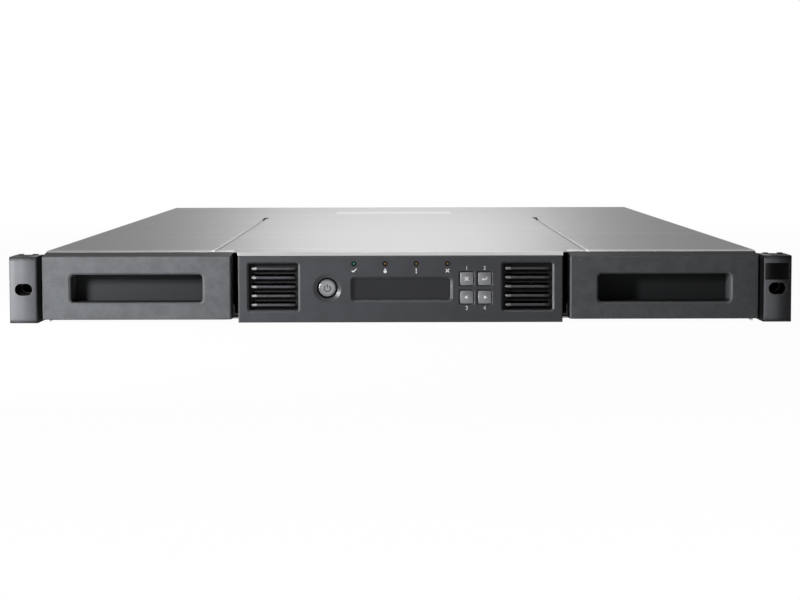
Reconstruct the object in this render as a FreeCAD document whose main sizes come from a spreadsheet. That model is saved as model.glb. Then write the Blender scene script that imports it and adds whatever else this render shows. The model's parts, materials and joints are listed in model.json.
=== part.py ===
import FreeCAD, Part
import Sketcher
import math
import os
from types import SimpleNamespace
from FreeCAD import Placement, Rotation, Vector

# A one-unit rack tape autoloader: two magazines beside a control panel, a travelling picker, one drive.
# X runs to the right of someone facing the unit, Y to the rear, Z up from the underside of the pan.

# Driving dimensions in millimetres
SIZES = {
    # whole unit
    "rack_width": 482.6,
    "chassis_width": 446.0,
    "unit_height": 44.2,
    "overall_depth": 810.0,
    "ear_proud": 14.0,
    "rear_proud": 6.0,
    "bezel_depth": 12.0,
    # sheet metal
    "sheet": 1.0,
    "skirt_gap": 0.2,
    "skirt_height": 26.0,
    "lip_height": 2.3,
    "lip_set_back": 0.3,
    "groove_offset": 117.0,
    "groove_length": 522.0,
    "groove_depth": 0.5,
    "groove_width": 3.4,
    "groove_floor": 1.2,
    "lance_length": 45.0,
    "lance_width": 5.2,
    "front_fall": 0.35,
    "front_fall_length": 10.0,
    "floor_set_back": 20.0,
    # clearances
    "slide_gap": 0.3,
    "running_gap": 0.05,
    "hole_gap": 0.15,
    # screws
    "screw_radius": 1.5,
    "screw_head_radius": 2.8,
    "screw_head": 1.0,
    "screw_inset": 70.0,
    "cover_screw_height": 30.0,
    # rack ears
    "ear_sheet": 1.5,
    "ear_low": 1.2,
    "ear_high": 42.3,
    "ear_leg_length": 60.0,
    "ear_leg_low": 3.0,
    "ear_leg_high": 17.2,
    "ear_slot_pitch": 465.1,
    "ear_slot_length": 10.4,
    "ear_slot_width": 7.0,
    "cap_front_width": 16.9,
    "cap_rear_width": 17.4,
    "cap_wall": 2.0,
    "cap_round": 2.4,
    "cap_edge": 0.8,
    "cap_hole_margin": 0.2,
    "cap_lug": 3.0,
    "cap_lug_inset": 2.0,
    "cap_lug_pitch": 9.0,
    # control panel moulding
    "panel_width": 202.8,
    "panel_low": 0.0,
    "panel_draft": 0.2,
    "panel_wall": 3.0,
    "panel_side_wall": 2.2,
    "panel_edge": 0.6,
    "boss_radius": 2.0,
    "boss_offset": 57.5,
    "vent_offset": 79.3,
    "vent_level": 22.5,
    "vent_width": 33.3,
    "vent_height": 31.8,
    "vent_rim": 1.2,
    "vent_depth": 6.0,
    "vent_floor": 2.0,
    "louvre_pitch": 5.7,
    "louvre_height": 1.6,
    "louvre_length": 27.4,
    "louvre_set_back": 0.8,
    "louvre_bead": 1.6,
    "louvre_drop": 2.2,
    "louvre_soft": 0.7,
    "button_offset": 45.6,
    "button_level": 21.7,
    "button_radius": 5.4,
    "button_well_radius": 6.5,
    "button_flange_radius": 8.0,
    "button_set_back": 0.7,
    "dish_radius": 8.9,
    "dish_depth": 2.2,
    "display_width": 63.8,
    "display_height": 16.3,
    "display_level": 20.9,
    "display_offset": 0.7,
    "display_rim": 1.5,
    "lens_margin": 1.6,
    "lens_thickness": 1.4,
    "module_width": 68.0,
    "module_height": 23.0,
    "key_offset": 46.9,
    "key_level": 21.65,
    "key_pitch_across": 11.2,
    "key_pitch_up": 11.5,
    "key_size": 7.9,
    "key_gap": 0.35,
    "key_rim": 0.8,
    "key_round": 0.6,
    "key_proud": 0.4,
    "key_crown": 0.5,
    "key_flange": 0.6,
    "stem_radius": 1.6,
    "switch_size": 6.0,
    "light_first": 29.0,
    "light_pitch": 19.45,
    "light_level": 36.9,
    "light_radius": 1.1,
    "light_gap": 0.4,
    "board_set_back": 10.0,
    "board_thickness": 1.6,
    "board_width": 122.0,
    "board_low": 4.5,
    "board_high": 38.5,
    # magazines
    "bay_gap": 3.6,
    "magazine_low": 2.2,
    "magazine_front_top": 41.5,
    "magazine_top_gap": 0.5,
    "magazine_side_gap": 0.5,
    "magazine_draft": 1.0,
    "magazine_edge": 0.6,
    "magazine_wall": 2.4,
    "neck_length": 32.0,
    "neck_high": 38.5,
    "grip_width": 85.0,
    "grip_height": 20.0,
    "grip_depth": 20.0,
    "grip_level": 21.6,
    "grip_rim": 1.2,
    "grip_round": 2.5,
    "tray_inner": 108.5,
    "tray_wall": 3.0,
    "tray_high": 36.0,
    "tray_floor": 2.4,
    "slot_count": 4,
    "slot_pitch": 112.0,
    "media_floor": 12.1,
    "media_height": 23.0,
    "spring_bow": 1.6,
    "spring_chord": 36.0,
    "spring_leaf": 0.4,
    "spring_width": 10.0,
    "rail_width": 6.0,
    "rail_height": 7.0,
    "rail_sheet": 1.2,
    # latches
    "latch_offset": 177.0,
    "latch_behind_tray": 29.0,
    "latch_reach": 24.0,
    "latch_hook": 11.0,
    "latch_width": 6.0,
    "latch_tail": 16.0,
    "hook_length": 3.0,
    "latch_low": 16.0,
    "latch_high": 22.0,
    "latch_release_angle": 20.0,
    "pivot_radius": 2.0,
    "catch_offset": 160.0,
    "catch_stem": 5.0,
    "catch_head": 10.5,
    "catch_length": 13.0,
    "catch_thickness": 3.5,
    "solenoid_near": 14.0,
    "solenoid_width": 22.0,
    "solenoid_depth": 12.0,
    "solenoid_behind": 4.0,
    "solenoid_rise": 4.0,
    "solenoid_foot": 2.0,
    "plunger_radius": 2.5,
    "plunger_reach": 6.0,
    # carriage and its drive
    "home_distance": 504.0,
    "rod_offset": 97.0,
    "rod_level": 5.0,
    "rod_radius": 2.5,
    "rod_start": 20.0,
    "rod_block": 8.0,
    "plate_half_width": 101.0,
    "plate_half_length": 54.0,
    "plate_low": 7.8,
    "plate_thickness": 1.6,
    "pulley_offset": 84.0,
    "pulley_radius": 6.0,
    "pulley_flange": 1.2,
    "idler_distance": 30.0,
    "motor_distance": 572.0,
    "belt_low": 3.0,
    "belt_high": 7.0,
    "belt_thickness": 0.8,
    "belt_clamp": 1.4,
    "motor_radius": 13.0,
    "motor_high": 38.0,
    "relief_length": 60.0,
    "relief_near": 42.0,
    "relief_left": 70.0,
    "relief_right": 64.0,
    "beam_low": 13.0,
    "beam_high": 30.0,
    "beam_thickness": 3.0,
    "turn_motor_width": 10.0,
    "turn_motor_length": 12.0,
    "turn_motor_high": 37.0,
    # picker
    "turntable_thickness": 1.6,
    "thrust_ring": 0.3,
    "turn_pin_radius": 6.0,
    "turn_module": 2.0,
    "turntable_teeth": 70,
    "pinion_teeth": 16,
    "backlash": 0.35,
    "picker_half_width": 54.0,
    "picker_half_length": 54.0,
    "picker_sheet": 1.2,
    "picker_floor": 0.8,
    "picker_bridge": 16.0,
    "window_forward": 40.0,
    "window_length": 20.0,
    "window_width": 60.0,
    "window_low": 19.0,
    "window_high": 31.0,
    "arm_thickness": 2.4,
    "arm_low": 21.0,
    "arm_high": 27.0,
    "arm_front": 50.0,
    "arm_rear": 58.0,
    "arm_hook": 1.5,
    "rack_module": 0.8,
    "gripper_teeth": 10,
    "gripper_pinion_forward": 18.0,
    # rear compartment
    "drive_width": 146.0,
    "drive_depth": 203.0,
    "drive_gap": 1.0,
    "drive_low": 2.0,
    "drive_high": 42.4,
    "mouth_width": 108.4,
    "mouth_depth": 112.0,
    "sled_flange": 10.0,
    "drive_plate": 1.2,
    "drive_plate_width": 164.0,
    "drive_plate_margin": 2.2,
    "plate_vent_length": 92.0,
    "plate_vent_low": 8.0,
    "plate_vent_pitch": 5.0,
    "knob_radius": 4.5,
    "knob_offset": 76.0,
    "supply_width": 134.0,
    "supply_length": 142.0,
    "supply_clear": 13.7,
    "supply_inner": 84.0,
    "fan_size": 40.0,
    "fan_depth": 28.0,
    "fan_offset": 186.0,
    "fan_bore": 18.9,
    "fan_sweep": 18.3,
    "fan_hub": 10.5,
    "inlet_offset": 116.0,
    "inlet_level": 21.8,
    "inlet_width": 27.4,
    "inlet_height": 20.0,
    "controller_inner": 84.0,
    "controller_width": 132.0,
    "controller_length": 182.0,
    "controller_level": 6.0,
    "standoff_radius": 3.0,
    "sink_size": 40.0,
    "sink_across": 46.0,
    "sink_along": 70.0,
    "sink_base": 3.0,
    "sink_height": 14.0,
    "fin_pitch": 4.3,
    "fin_thickness": 1.3,
    "chip_width": 18.0,
    "chip_length": 14.0,
    "chip_height": 1.6,
    "chip_across": 22.0,
    "chip_inset": 32.0,
    "chip_along": 40.0,
    "chip_pitch": 40.0,
    "capacitor_radius": 5.0,
    "capacitor_height": 16.0,
    "capacitor_inset": 16.0,
    "capacitor_pitch": 13.0,
    "capacitor_along": 130.0,
    "socket_depth": 5.0,
    "socket_height": 7.0,
    "port_level": 7.6,
    "air_exit_inner": 170.0,
    "air_exit_inset": 11.8,
    "cable_offset": 48.0,
    "cable_width": 16.0,
    "cable_thickness": 0.9,
    "cable_high": 22.0,
}

SIDES = {"left": -1, "right": 1}

doc = FreeCAD.newDocument("tape_autoloader")
sheet = doc.addObject("Spreadsheet::Sheet", "Sizes")
for row, (alias, number) in enumerate(SIZES.items(), 1):
    sheet.set(f"A{row}", alias)
    sheet.set(f"B{row}", str(number))
    sheet.setAlias(f"B{row}", alias)
doc.recompute()


class Length:
    # A number together with the formula that ties it to the sheet
    def __init__(self, value, text):
        self.value = value
        self.text = text

    def __float__(self):
        return self.value

    def __neg__(self):
        return Length(-self.value, f"(-{self.text})")

    def __add__(self, other):
        other = length(other)
        return Length(self.value + other.value, f"({self.text} + {other.text})")

    def __radd__(self, other):
        return length(other) + self

    def __sub__(self, other):
        other = length(other)
        return Length(self.value - other.value, f"({self.text} - {other.text})")

    def __rsub__(self, other):
        return length(other) - self

    def __mul__(self, other):
        other = length(other)
        return Length(self.value * other.value, f"({self.text} * {other.text})")

    def __rmul__(self, other):
        return length(other) * self

    def __truediv__(self, other):
        other = length(other)
        return Length(self.value / other.value, f"({self.text} / {other.text})")


def length(value):
    if isinstance(value, Length):
        return value
    return Length(float(value), f"({float(value)})")


d = SimpleNamespace(**{alias: Length(float(sheet.get(alias)), f"Sizes.{alias}") for alias in SIZES})
finished = []


def bind(thing, prop, value):
    thing.setExpression(prop, length(value).text)


def about(centre, half):
    return centre - half, centre + half


def sided(side, low, high):
    # A span on the right side, or its mirror image on the left
    if side > 0:
        return low, high
    return -length(high), -length(low)


def box(name, x, y, z):
    solid = doc.addObject("Part::Box", name)
    for prop, axis, (low, high) in zip(("Length", "Width", "Height"), "xyz", (x, y, z)):
        bind(solid, prop, length(high) - low)
        bind(solid, f"Placement.Base.{axis}", low)
    return solid


def taper(name, y, near, far):
    # A block whose section changes from near at the first y to far at the second
    solid = doc.addObject("Part::Wedge", name)
    for prop, value in zip(("Ymin", "Ymax"), y):
        bind(solid, prop, value)
    for prop, value in zip(("Xmin", "Xmax", "Zmin", "Zmax"), near[0] + near[1]):
        bind(solid, prop, value)
    for prop, value in zip(("X2min", "X2max", "Z2min", "Z2max"), far[0] + far[1]):
        bind(solid, prop, value)
    return solid


def trench(name, y, z, lower, upper):
    # A prism along y whose width changes from lower at the first z to upper at the second
    solid = doc.addObject("Part::Wedge", name)
    solid.Placement = Placement(Vector(), Rotation(Vector(1, 0, 0), 90))
    values = {"Ymin": z[0], "Ymax": z[1], "Xmin": lower[0], "Xmax": lower[1],
              "X2min": upper[0], "X2max": upper[1]}
    for prefix in ("Z", "Z2"):
        values[prefix + "min"] = -y[1]
        values[prefix + "max"] = -y[0]
    for prop, value in values.items():
        bind(solid, prop, value)
    return solid


TURNS = {"x": Rotation(Vector(0, 1, 0), 90), "y": Rotation(Vector(1, 0, 0), -90), "z": Rotation()}


def stand(solid, axis, centre, start):
    solid.Placement = Placement(Vector(), TURNS[axis])
    others = [letter for letter in "xyz" if letter != axis]
    for letter, value in zip(others + [axis], list(centre) + [start]):
        bind(solid, f"Placement.Base.{letter}", value)


def rod(name, axis, centre, radius, span):
    solid = doc.addObject("Part::Cylinder", name)
    stand(solid, axis, centre, span[0])
    bind(solid, "Radius", radius)
    bind(solid, "Height", length(span[1]) - span[0])
    return solid


def fuse(name, *solids):
    joined = doc.addObject("Part::MultiFuse", name)
    joined.Shapes = list(solids)
    joined.Refine = True
    return joined


def cut(name, base, *tools):
    tool = tools[0]
    if len(tools) > 1:
        tool = doc.addObject("Part::MultiFuse", name + "_tools")
        tool.Shapes = list(tools)
    result = doc.addObject("Part::Cut", name)
    result.Base = base
    result.Tool = tool
    result.Refine = True
    return result


def common(name, *solids):
    result = doc.addObject("Part::MultiCommon", name)
    result.Shapes = list(solids)
    return result


def group(name, *solids):
    gathered = doc.addObject("Part::Compound", name)
    gathered.Links = list(solids)
    return gathered


def capsule(name, x, z, radius, y):
    # A bar along x with half-round ends, seen from the front
    return fuse(name, box(name + "_mid", (x[0] + radius, x[1] - radius), y, (z - radius, z + radius)),
                rod(name + "_end", "y", (x[0] + radius, z), radius, y),
                rod(name + "_end", "y", (x[1] - radius, z), radius, y))


def edges_at(solid, y, x=None, z=None):
    # Numbers of the edges that lie in the plane y, inside a window when one is given
    doc.recompute()
    found = []
    for number, edge in enumerate(solid.Shape.Edges, 1):
        points = edge.discretize(5)
        if any(abs(point.y - float(y)) > 1e-3 for point in points):
            continue
        if x and any(not float(x[0]) - 0.01 <= point.x <= float(x[1]) + 0.01 for point in points):
            continue
        if z and any(not float(z[0]) - 0.01 <= point.z <= float(z[1]) + 0.01 for point in points):
            continue
        found.append(number)
    return found


def edges_along_y(solid):
    doc.recompute()
    found = []
    for number, edge in enumerate(solid.Shape.Edges, 1):
        if len(edge.Vertexes) == 2:
            run = edge.Vertexes[1].Point - edge.Vertexes[0].Point
            if abs(run.y) > 0.1 and abs(run.x) < 1e-6 and abs(run.z) < 1e-6:
                found.append(number)
    return found


def dress(kind, name, base, sizes):
    # kind is Fillet or Chamfer, sizes pairs a size with the edges that take it
    result = doc.addObject("Part::" + kind, name)
    result.Base = base
    result.Edges = [(number, float(size), float(size)) for size, numbers in sizes for number in numbers]
    return result


def soft_box(name, x, y, z, radius):
    block = box(name + "_block", x, y, z)
    return dress("Fillet", name, block, [(radius, edges_along_y(block))])


def new_body(name):
    return doc.addObject("PartDesign::Body", name)


def sketch(body, name, role, offset):
    plane = [feature for feature in body.Origin.OriginFeatures if feature.Role == role][0]
    drawing = body.newObject("Sketcher::SketchObject", name)
    drawing.AttachmentSupport = [(plane, "")]
    drawing.MapMode = "FlatFace"
    for axis, value in zip("xyz", offset):
        bind(drawing, f"AttachmentOffset.Base.{axis}", value)
    return drawing


def outline(drawing, points):
    # A closed line through the points, each one held by its two distances from the sketch origin
    points = [(length(across), length(up)) for across, up in points]
    count = len(points)
    for number, (across, up) in enumerate(points):
        after = points[(number + 1) % count]
        drawing.addGeometry(Part.LineSegment(Vector(float(across), float(up), 0),
                                             Vector(float(after[0]), float(after[1]), 0)))
    for number in range(count):
        drawing.addConstraint(Sketcher.Constraint("Coincident", number, 2, (number + 1) % count, 1))
    for number, point in enumerate(points):
        for kind, line, value in (("DistanceX", -2, point[0]), ("DistanceY", -1, point[1])):
            if value.value == 0:
                drawing.addConstraint(Sketcher.Constraint("PointOnObject", number, 1, line))
                continue
            held = drawing.addConstraint(Sketcher.Constraint(kind, -1, 1, number, 1, value.value))
            drawing.renameConstraint(held, f"{kind}_{number}")
            bind(drawing, f"Constraints.{kind}_{number}", value)
    return drawing


def rectangle(drawing, across, up):
    return outline(drawing, [(0, 0), (across, 0), (across, up), (0, up)])


def feature(body, kind, name, profile, amount, backwards=False):
    made = body.newObject("PartDesign::" + kind, name)
    made.Profile = profile
    bind(made, "Length", amount)
    made.Reversed = backwards
    return made


def turned(name, centre, points):
    # A round piece about an axis along y through centre, drawn as radius and distance behind its front
    body = new_body(name)
    drawing = sketch(body, name + "_half", "XY_Plane", centre)
    outline(drawing, points)
    made = body.newObject("PartDesign::Revolution", name + "_turned")
    made.Profile = drawing
    made.ReferenceAxis = (drawing, ["V_Axis"])
    made.Angle = 360
    return body


def finish(label, solid):
    solid.Label = label
    finished.append(solid)
    return solid


# Planes that several pieces share
ear_out = d.rack_width / 2
half_width = d.chassis_width / 2
magazine_out = half_width + d.magazine_side_gap
front = -d.overall_depth / 2
face = front + d.ear_proud
seat = face + d.bezel_depth
back = d.overall_depth / 2 - d.rear_proud
wall_end = back - d.sheet
roof = d.unit_height - d.sheet
skirt_low = d.unit_height - d.skirt_height
pan_half = half_width - d.sheet - d.skirt_gap
bay_wall = pan_half - d.sheet
panel_half = d.panel_width / 2
panel_high = d.unit_height - d.lip_height
screw_spots = [seat + d.screw_inset, (seat + back) / 2, back - d.screw_inset]
ear_spots = [seat + d.ear_leg_length * share for share in (0.35, 0.8)]
ear_leg_mid = (d.ear_leg_low + d.ear_leg_high) / 2
screw_hole = d.screw_radius + d.hole_gap
vent_hole_half = d.vent_width / 2 - d.vent_rim
vent_hole_high = d.vent_height / 2 - d.vent_rim
drive_rear = wall_end - d.drive_gap
drive_front = drive_rear - d.drive_depth
home = face + d.home_distance
controller_x = (d.controller_inner, d.controller_inner + d.controller_width)
controller_y = (drive_rear - d.drive_gap - d.controller_length, drive_rear - d.drive_gap)

# Base pan: floor, side walls, pressed-in standoffs, a windowed front plate behind the control panel
pan_solids = [box("pan_floor", (-pan_half, pan_half), (seat, wall_end), (0, d.sheet)),
              box("pan_front", about(0, panel_half - d.sheet), (seat, seat + d.sheet),
                  (0, roof - d.slide_gap))]
standoff_x = (controller_x[0] + 2 * d.standoff_radius, controller_x[1] - 2 * d.standoff_radius)
standoff_y = (controller_y[0] + 4 * d.standoff_radius, controller_y[1] - 3 * d.standoff_radius)
pan_solids += [rod("standoff", "z", (across, along), d.standoff_radius, (d.sheet / 2, d.controller_level))
               for across in standoff_x for along in standoff_y]
pan_holes = [box("cable_window", about(0, d.boss_offset), (seat - 1, seat + 2 * d.sheet),
                 (d.board_low, d.board_high))]
for side in SIDES.values():
    pan_solids.append(box("pan_wall", sided(side, bay_wall, pan_half), (seat, wall_end), (0, roof)))
    pan_holes.append(box("floor_notch", sided(side, panel_half, bay_wall),
                         (seat - 1, seat + d.floor_set_back), (-1, 2 * d.sheet)))
    pan_holes.append(box("air_window", sided(side, *about(d.vent_offset, vent_hole_half)),
                         (seat - 1, seat + 2 * d.sheet), about(d.vent_level, vent_hole_high)))
    for spot in screw_spots:
        pan_holes.append(rod("wall_hole", "x", (spot, d.cover_screw_height), screw_hole,
                             sided(side, bay_wall - 1, half_width + 1)))
    for spot in ear_spots:
        pan_holes.append(rod("wall_hole", "x", (spot, ear_leg_mid), screw_hole,
                             sided(side, bay_wall - 1, half_width + 1)))
pan = finish("base_pan", cut("base_pan", fuse("pan_folded", *pan_solids), *pan_holes))

# Top cover: sheet with a tongue and lip over the control panel, side skirts, pressed grooves, lanced slots
cover_solids = [box("cover_top", (-half_width, half_width), (seat, back), (roof, d.unit_height)),
                box("cover_tongue", (-panel_half, panel_half), (face + d.lip_set_back, seat),
                    (roof, d.unit_height)),
                box("cover_lip", (-panel_half, panel_half),
                    (face + d.lip_set_back, face + d.lip_set_back + d.sheet), (panel_high, d.unit_height))]
cover_holes = []
groove_end = seat + d.groove_length
above = d.unit_height + 1
for side in SIDES.values():
    cover_solids.append(box("skirt", sided(side, half_width - d.sheet, half_width), (seat, back),
                            (skirt_low, d.unit_height)))
    middle = d.groove_offset
    cover_solids.append(trench("bead", (seat, groove_end - d.lance_length),
                               (roof - d.groove_depth, roof),
                               sided(side, *about(middle, d.groove_floor / 2 + d.sheet / 2)),
                               sided(side, *about(middle, d.groove_width / 2 + d.sheet / 2))))
    cover_holes.append(trench("groove", (seat - 1, groove_end - d.lance_length),
                              (d.unit_height - d.groove_depth, d.unit_height),
                              sided(side, *about(middle, d.groove_floor / 2)),
                              sided(side, *about(middle, d.groove_width / 2))))
    across = sided(side, panel_half, half_width + 1)
    cover_holes.append(taper("front_fall", (seat - 0.1, seat + d.front_fall_length),
                             (across, (d.unit_height - d.front_fall, above)),
                             (across, (d.unit_height, above))))
    through = (roof - 1, above)
    cover_holes.append(taper("lance", (groove_end - d.lance_length, groove_end),
                             (sided(side, *about(middle, 0.4)), through),
                             (sided(side, *about(middle, d.lance_width / 2)), through)))
    for spot in screw_spots:
        cover_holes.append(rod("skirt_hole", "x", (spot, d.cover_screw_height), screw_hole,
                               sided(side, bay_wall - 1, half_width + 1)))
cover = finish("top_cover", cut("top_cover", fuse("cover_folded", *cover_solids), *cover_holes))


def side_screw(side, spot, level, seat_plane):
    head = rod("screw_head", "x", (spot, level), d.screw_head_radius,
               sided(side, seat_plane, seat_plane + d.screw_head))
    shank = rod("screw_shank", "x", (spot, level), d.screw_radius,
                sided(side, bay_wall - d.hole_gap, seat_plane))
    return fuse("side_screw", head, shank)


side_screws = [side_screw(side, spot, d.cover_screw_height, half_width)
               for side in SIDES.values() for spot in screw_spots]
side_screws += [side_screw(side, spot, ear_leg_mid, pan_half + d.ear_sheet)
                for side in SIDES.values() for spot in ear_spots]
finish("side_screws", group("side_screws", *side_screws))

# Rack ears: a bent bracket on the pan wall and a plastic cap in front of it
ear_in = pan_half + d.ear_sheet
cap_front_in = ear_out - d.cap_front_width
cap_rear_in = ear_out - d.cap_rear_width
slot_middle = d.ear_slot_pitch / 2
ear_level = d.unit_height / 2
for word, side in SIDES.items():
    flange = box("ear_flange", sided(side, ear_in, ear_out), (seat, seat + d.ear_sheet),
                 (d.ear_low, d.ear_high))
    leg = box("ear_leg", sided(side, pan_half, ear_in), (seat, seat + d.ear_leg_length),
              (d.ear_leg_low, d.ear_leg_high))
    slot = capsule("ear_slot", sided(side, *about(slot_middle, d.ear_slot_length / 2)), ear_level,
                   d.ear_slot_width / 2, (seat - 1, seat + 2 * d.ear_sheet))
    holes = [rod("leg_hole", "x", (spot, ear_leg_mid), screw_hole, sided(side, pan_half - 1, ear_in + 1))
             for spot in ear_spots]
    finish(f"rack_ear_{word}", cut(f"rack_ear_{word}", fuse("ear_bent", flange, leg), slot, *holes))

    shell = taper("cap_block", (front, seat),
                  (sided(side, cap_front_in, ear_out), (d.ear_low, d.ear_high)),
                  (sided(side, cap_rear_in, ear_out), (d.ear_low, d.ear_high)))
    level_edges = [number for level in (d.ear_low, d.ear_high)
                   for number in edges_at(shell, front, z=(level, level))]
    upright_edges = [number for number in edges_at(shell, front) if number not in level_edges]
    soft = dress("Fillet", "cap_soft", shell, [(d.cap_round, level_edges), (d.cap_edge, upright_edges)])
    inside = taper("cap_inside", (front + d.cap_wall, seat + 1),
                   (sided(side, cap_front_in + d.cap_wall, ear_out - d.cap_wall),
                    (d.ear_low + d.cap_wall, d.ear_high - d.cap_wall)),
                   (sided(side, cap_rear_in + d.cap_wall, ear_out - d.cap_wall),
                    (d.ear_low + d.cap_wall, d.ear_high - d.cap_wall)))
    margin = d.cap_hole_margin
    sleeve = capsule("cap_sleeve",
                     sided(side, *about(slot_middle, d.ear_slot_length / 2 + margin + d.cap_wall / 2)),
                     ear_level, d.ear_slot_width / 2 + margin + d.cap_wall / 2, (front + 1, seat))
    hole = capsule("cap_hole", sided(side, *about(slot_middle, d.ear_slot_length / 2 + margin)), ear_level,
                   d.ear_slot_width / 2 + margin, (front - 1, seat + 1))
    lugs = [box("cap_lug", sided(side, ear_out - place - d.cap_lug, ear_out - place),
                (seat - 5, seat - 0.5), (d.ear_high - 1, d.ear_high + d.lip_set_back * 2))
            for place in (d.cap_lug_inset, d.cap_lug_inset + d.cap_lug_pitch)]
    finish(f"ear_cap_{word}", cut(f"ear_cap_{word}", fuse("cap_joined", cut("cap_shell", soft, inside),
                                                          sleeve, *lugs), hole))

# Control panel moulding
wall_back = face + d.panel_wall
board_front = face + d.board_set_back
panel_block = taper("panel_block", (face, seat),
                    (about(0, panel_half - d.panel_draft), (d.panel_low + d.panel_draft, panel_high)),
                    (about(0, panel_half), (d.panel_low, panel_high)))
hollow = box("panel_hollow", about(0, panel_half - d.panel_side_wall), (wall_back, seat + 1),
             (d.panel_low + d.panel_side_wall, panel_high - d.panel_side_wall))
shell_solids = [cut("panel_shell", panel_block, hollow)]
boss_levels = (d.board_low + d.boss_radius + 0.5, d.board_high - d.boss_radius - 0.5)
for side in SIDES.values():
    for level in boss_levels:
        shell_solids.append(rod("board_boss", "y", (side * d.boss_offset, level), d.boss_radius,
                                (wall_back - 0.5, board_front)))
    vent_box_x = sided(side, *about(d.vent_offset, vent_hole_half + d.panel_side_wall))
    shell_solids.append(box("vent_box", vent_box_x, (face + 1, face + d.vent_depth + d.vent_floor),
                            about(d.vent_level, vent_hole_high + d.panel_side_wall)))
rims = []
panel_holes = []
louvres = []
before = face - 1
for side in SIDES.values():
    across = sided(side, *about(d.vent_offset, vent_hole_half))
    upright = about(d.vent_level, vent_hole_high)
    panel_holes.append(soft_box("vent_hole", across, (before, face + d.vent_depth), upright, d.vent_rim))
    rims.append((d.vent_rim, across, upright))
    bar = sided(side, *about(d.vent_offset, d.louvre_length / 2))
    bead_half = d.louvre_height / 2
    bead_front = face + d.louvre_set_back
    for number in range(-2, 3):
        level = d.vent_level + number * d.louvre_pitch
        bead = capsule("louvre_bead", bar, level, bead_half, (bead_front, bead_front + d.louvre_bead))
        louvres.append(dress("Fillet", "louvre_round", bead, [(d.louvre_soft, edges_at(bead, bead_front))]))
        slat_y = (bead_front + d.louvre_bead / 2, face + d.vent_depth + d.vent_floor / 2)
        slat_x = (bar[0] + bead_half, bar[1] - bead_half)
        louvres.append(taper("louvre_slat", slat_y, (slat_x, about(level, bead_half)),
                             (slat_x, about(level - d.louvre_drop, bead_half))))
    for number in (-1.5, -0.5, 0.5, 1.5):
        level = d.vent_level + number * d.louvre_pitch - d.louvre_drop
        panel_holes.append(box("air_slot", bar,
                               (face + d.vent_depth - 1, face + d.vent_depth + d.vent_floor + 1),
                               about(level, d.louvre_pitch / 2 - d.louvre_height)))

button_x = -d.button_offset
dish = doc.addObject("Part::Sphere", "button_dish")
dish_curve = (d.dish_radius * d.dish_radius + d.dish_depth * d.dish_depth) / (2 * d.dish_depth)
bind(dish, "Radius", dish_curve)
bind(dish, "Placement.Base.x", button_x)
bind(dish, "Placement.Base.y", face + d.dish_depth - dish_curve)
bind(dish, "Placement.Base.z", d.button_level)
panel_holes.append(dish)
panel_holes.append(rod("button_hole", "y", (button_x, d.button_level), d.button_well_radius,
                       (before, wall_back + 1)))

window_across = about(d.display_offset, d.display_width / 2 - d.display_rim)
window_up = about(d.display_level, d.display_height / 2 - d.display_rim)
panel_holes.append(soft_box("display_hole", window_across, (before, wall_back + 1), window_up,
                            d.display_rim))
rims.append((d.display_rim, window_across, window_up))

key_spots = {}
for word, across, up in (("cancel", -1, 1), ("enter", 1, 1), ("previous", -1, -1), ("next", 1, -1)):
    key_spots[word] = (d.key_offset + across * d.key_pitch_across / 2, d.key_level + up * d.key_pitch_up / 2)
key_hole = d.key_size / 2 + d.key_gap
for word, (key_x, key_z) in key_spots.items():
    panel_holes.append(soft_box("key_hole", about(key_x, key_hole), (before, wall_back + 1),
                                about(key_z, key_hole), d.key_round + d.key_gap))
    rims.append((d.key_rim, about(key_x, key_hole), about(key_z, key_hole)))

light_spots = [number * d.light_pitch - d.light_first for number in range(4)]
for light_x in light_spots:
    panel_holes.append(rod("light_hole", "y", (light_x, d.light_level), d.light_radius + d.light_gap,
                           (before, wall_back + 1)))

panel_cut = cut("panel_cut", fuse("panel_joined", *shell_solids), *panel_holes)
doc.recompute()
rim_edges = [(size, edges_at(panel_cut, face, across, upright)) for size, across, upright in rims]
corner = float(panel_half - d.panel_draft)
outer_edges = [number for number in edges_at(panel_cut, face)
               if panel_cut.Shape.Edges[number - 1].Length > 30
               and (abs(abs(panel_cut.Shape.Edges[number - 1].CenterOfMass.x) - corner) < 0.01
                    or panel_cut.Shape.Edges[number - 1].Length > corner)]
panel_dressed = dress("Chamfer", "panel_dressed", panel_cut, rim_edges + [(d.panel_edge, outer_edges)])
finish("control_panel", fuse("control_panel", panel_dressed, *louvres))

# Display, board and switches behind the panel
lens_back = wall_back + d.lens_thickness
lens_across = about(d.display_offset, d.display_width / 2 + d.lens_margin)
finish("display_window", soft_box("display_window", lens_across, (wall_back, lens_back),
                                  about(d.display_level, d.display_height / 2 + d.lens_margin),
                                  d.display_rim))
module_across = about(d.display_offset, d.module_width / 2)
finish("display_module", box("display_module", module_across, (lens_back, board_front),
                             about(d.display_level, d.module_height / 2)))
finish("control_board", box("control_board", about(0, d.board_width / 2),
                            (board_front, board_front + d.board_thickness), (d.board_low, d.board_high)))
switch_front = board_front - 3.4
stem_end = switch_front + 0.4
switches = []
for switch_x, switch_z in list(key_spots.values()) + [(button_x, d.button_level)]:
    housing = box("switch_case", about(switch_x, d.switch_size / 2), (switch_front, board_front),
                  about(switch_z, d.switch_size / 2))
    pit = rod("switch_pit", "y", (switch_x, switch_z), d.stem_radius + d.slide_gap,
              (switch_front - 1, board_front - 0.5))
    switches.append(cut("key_switch", housing, pit))
finish("key_switches", group("key_switches", *switches))

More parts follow.
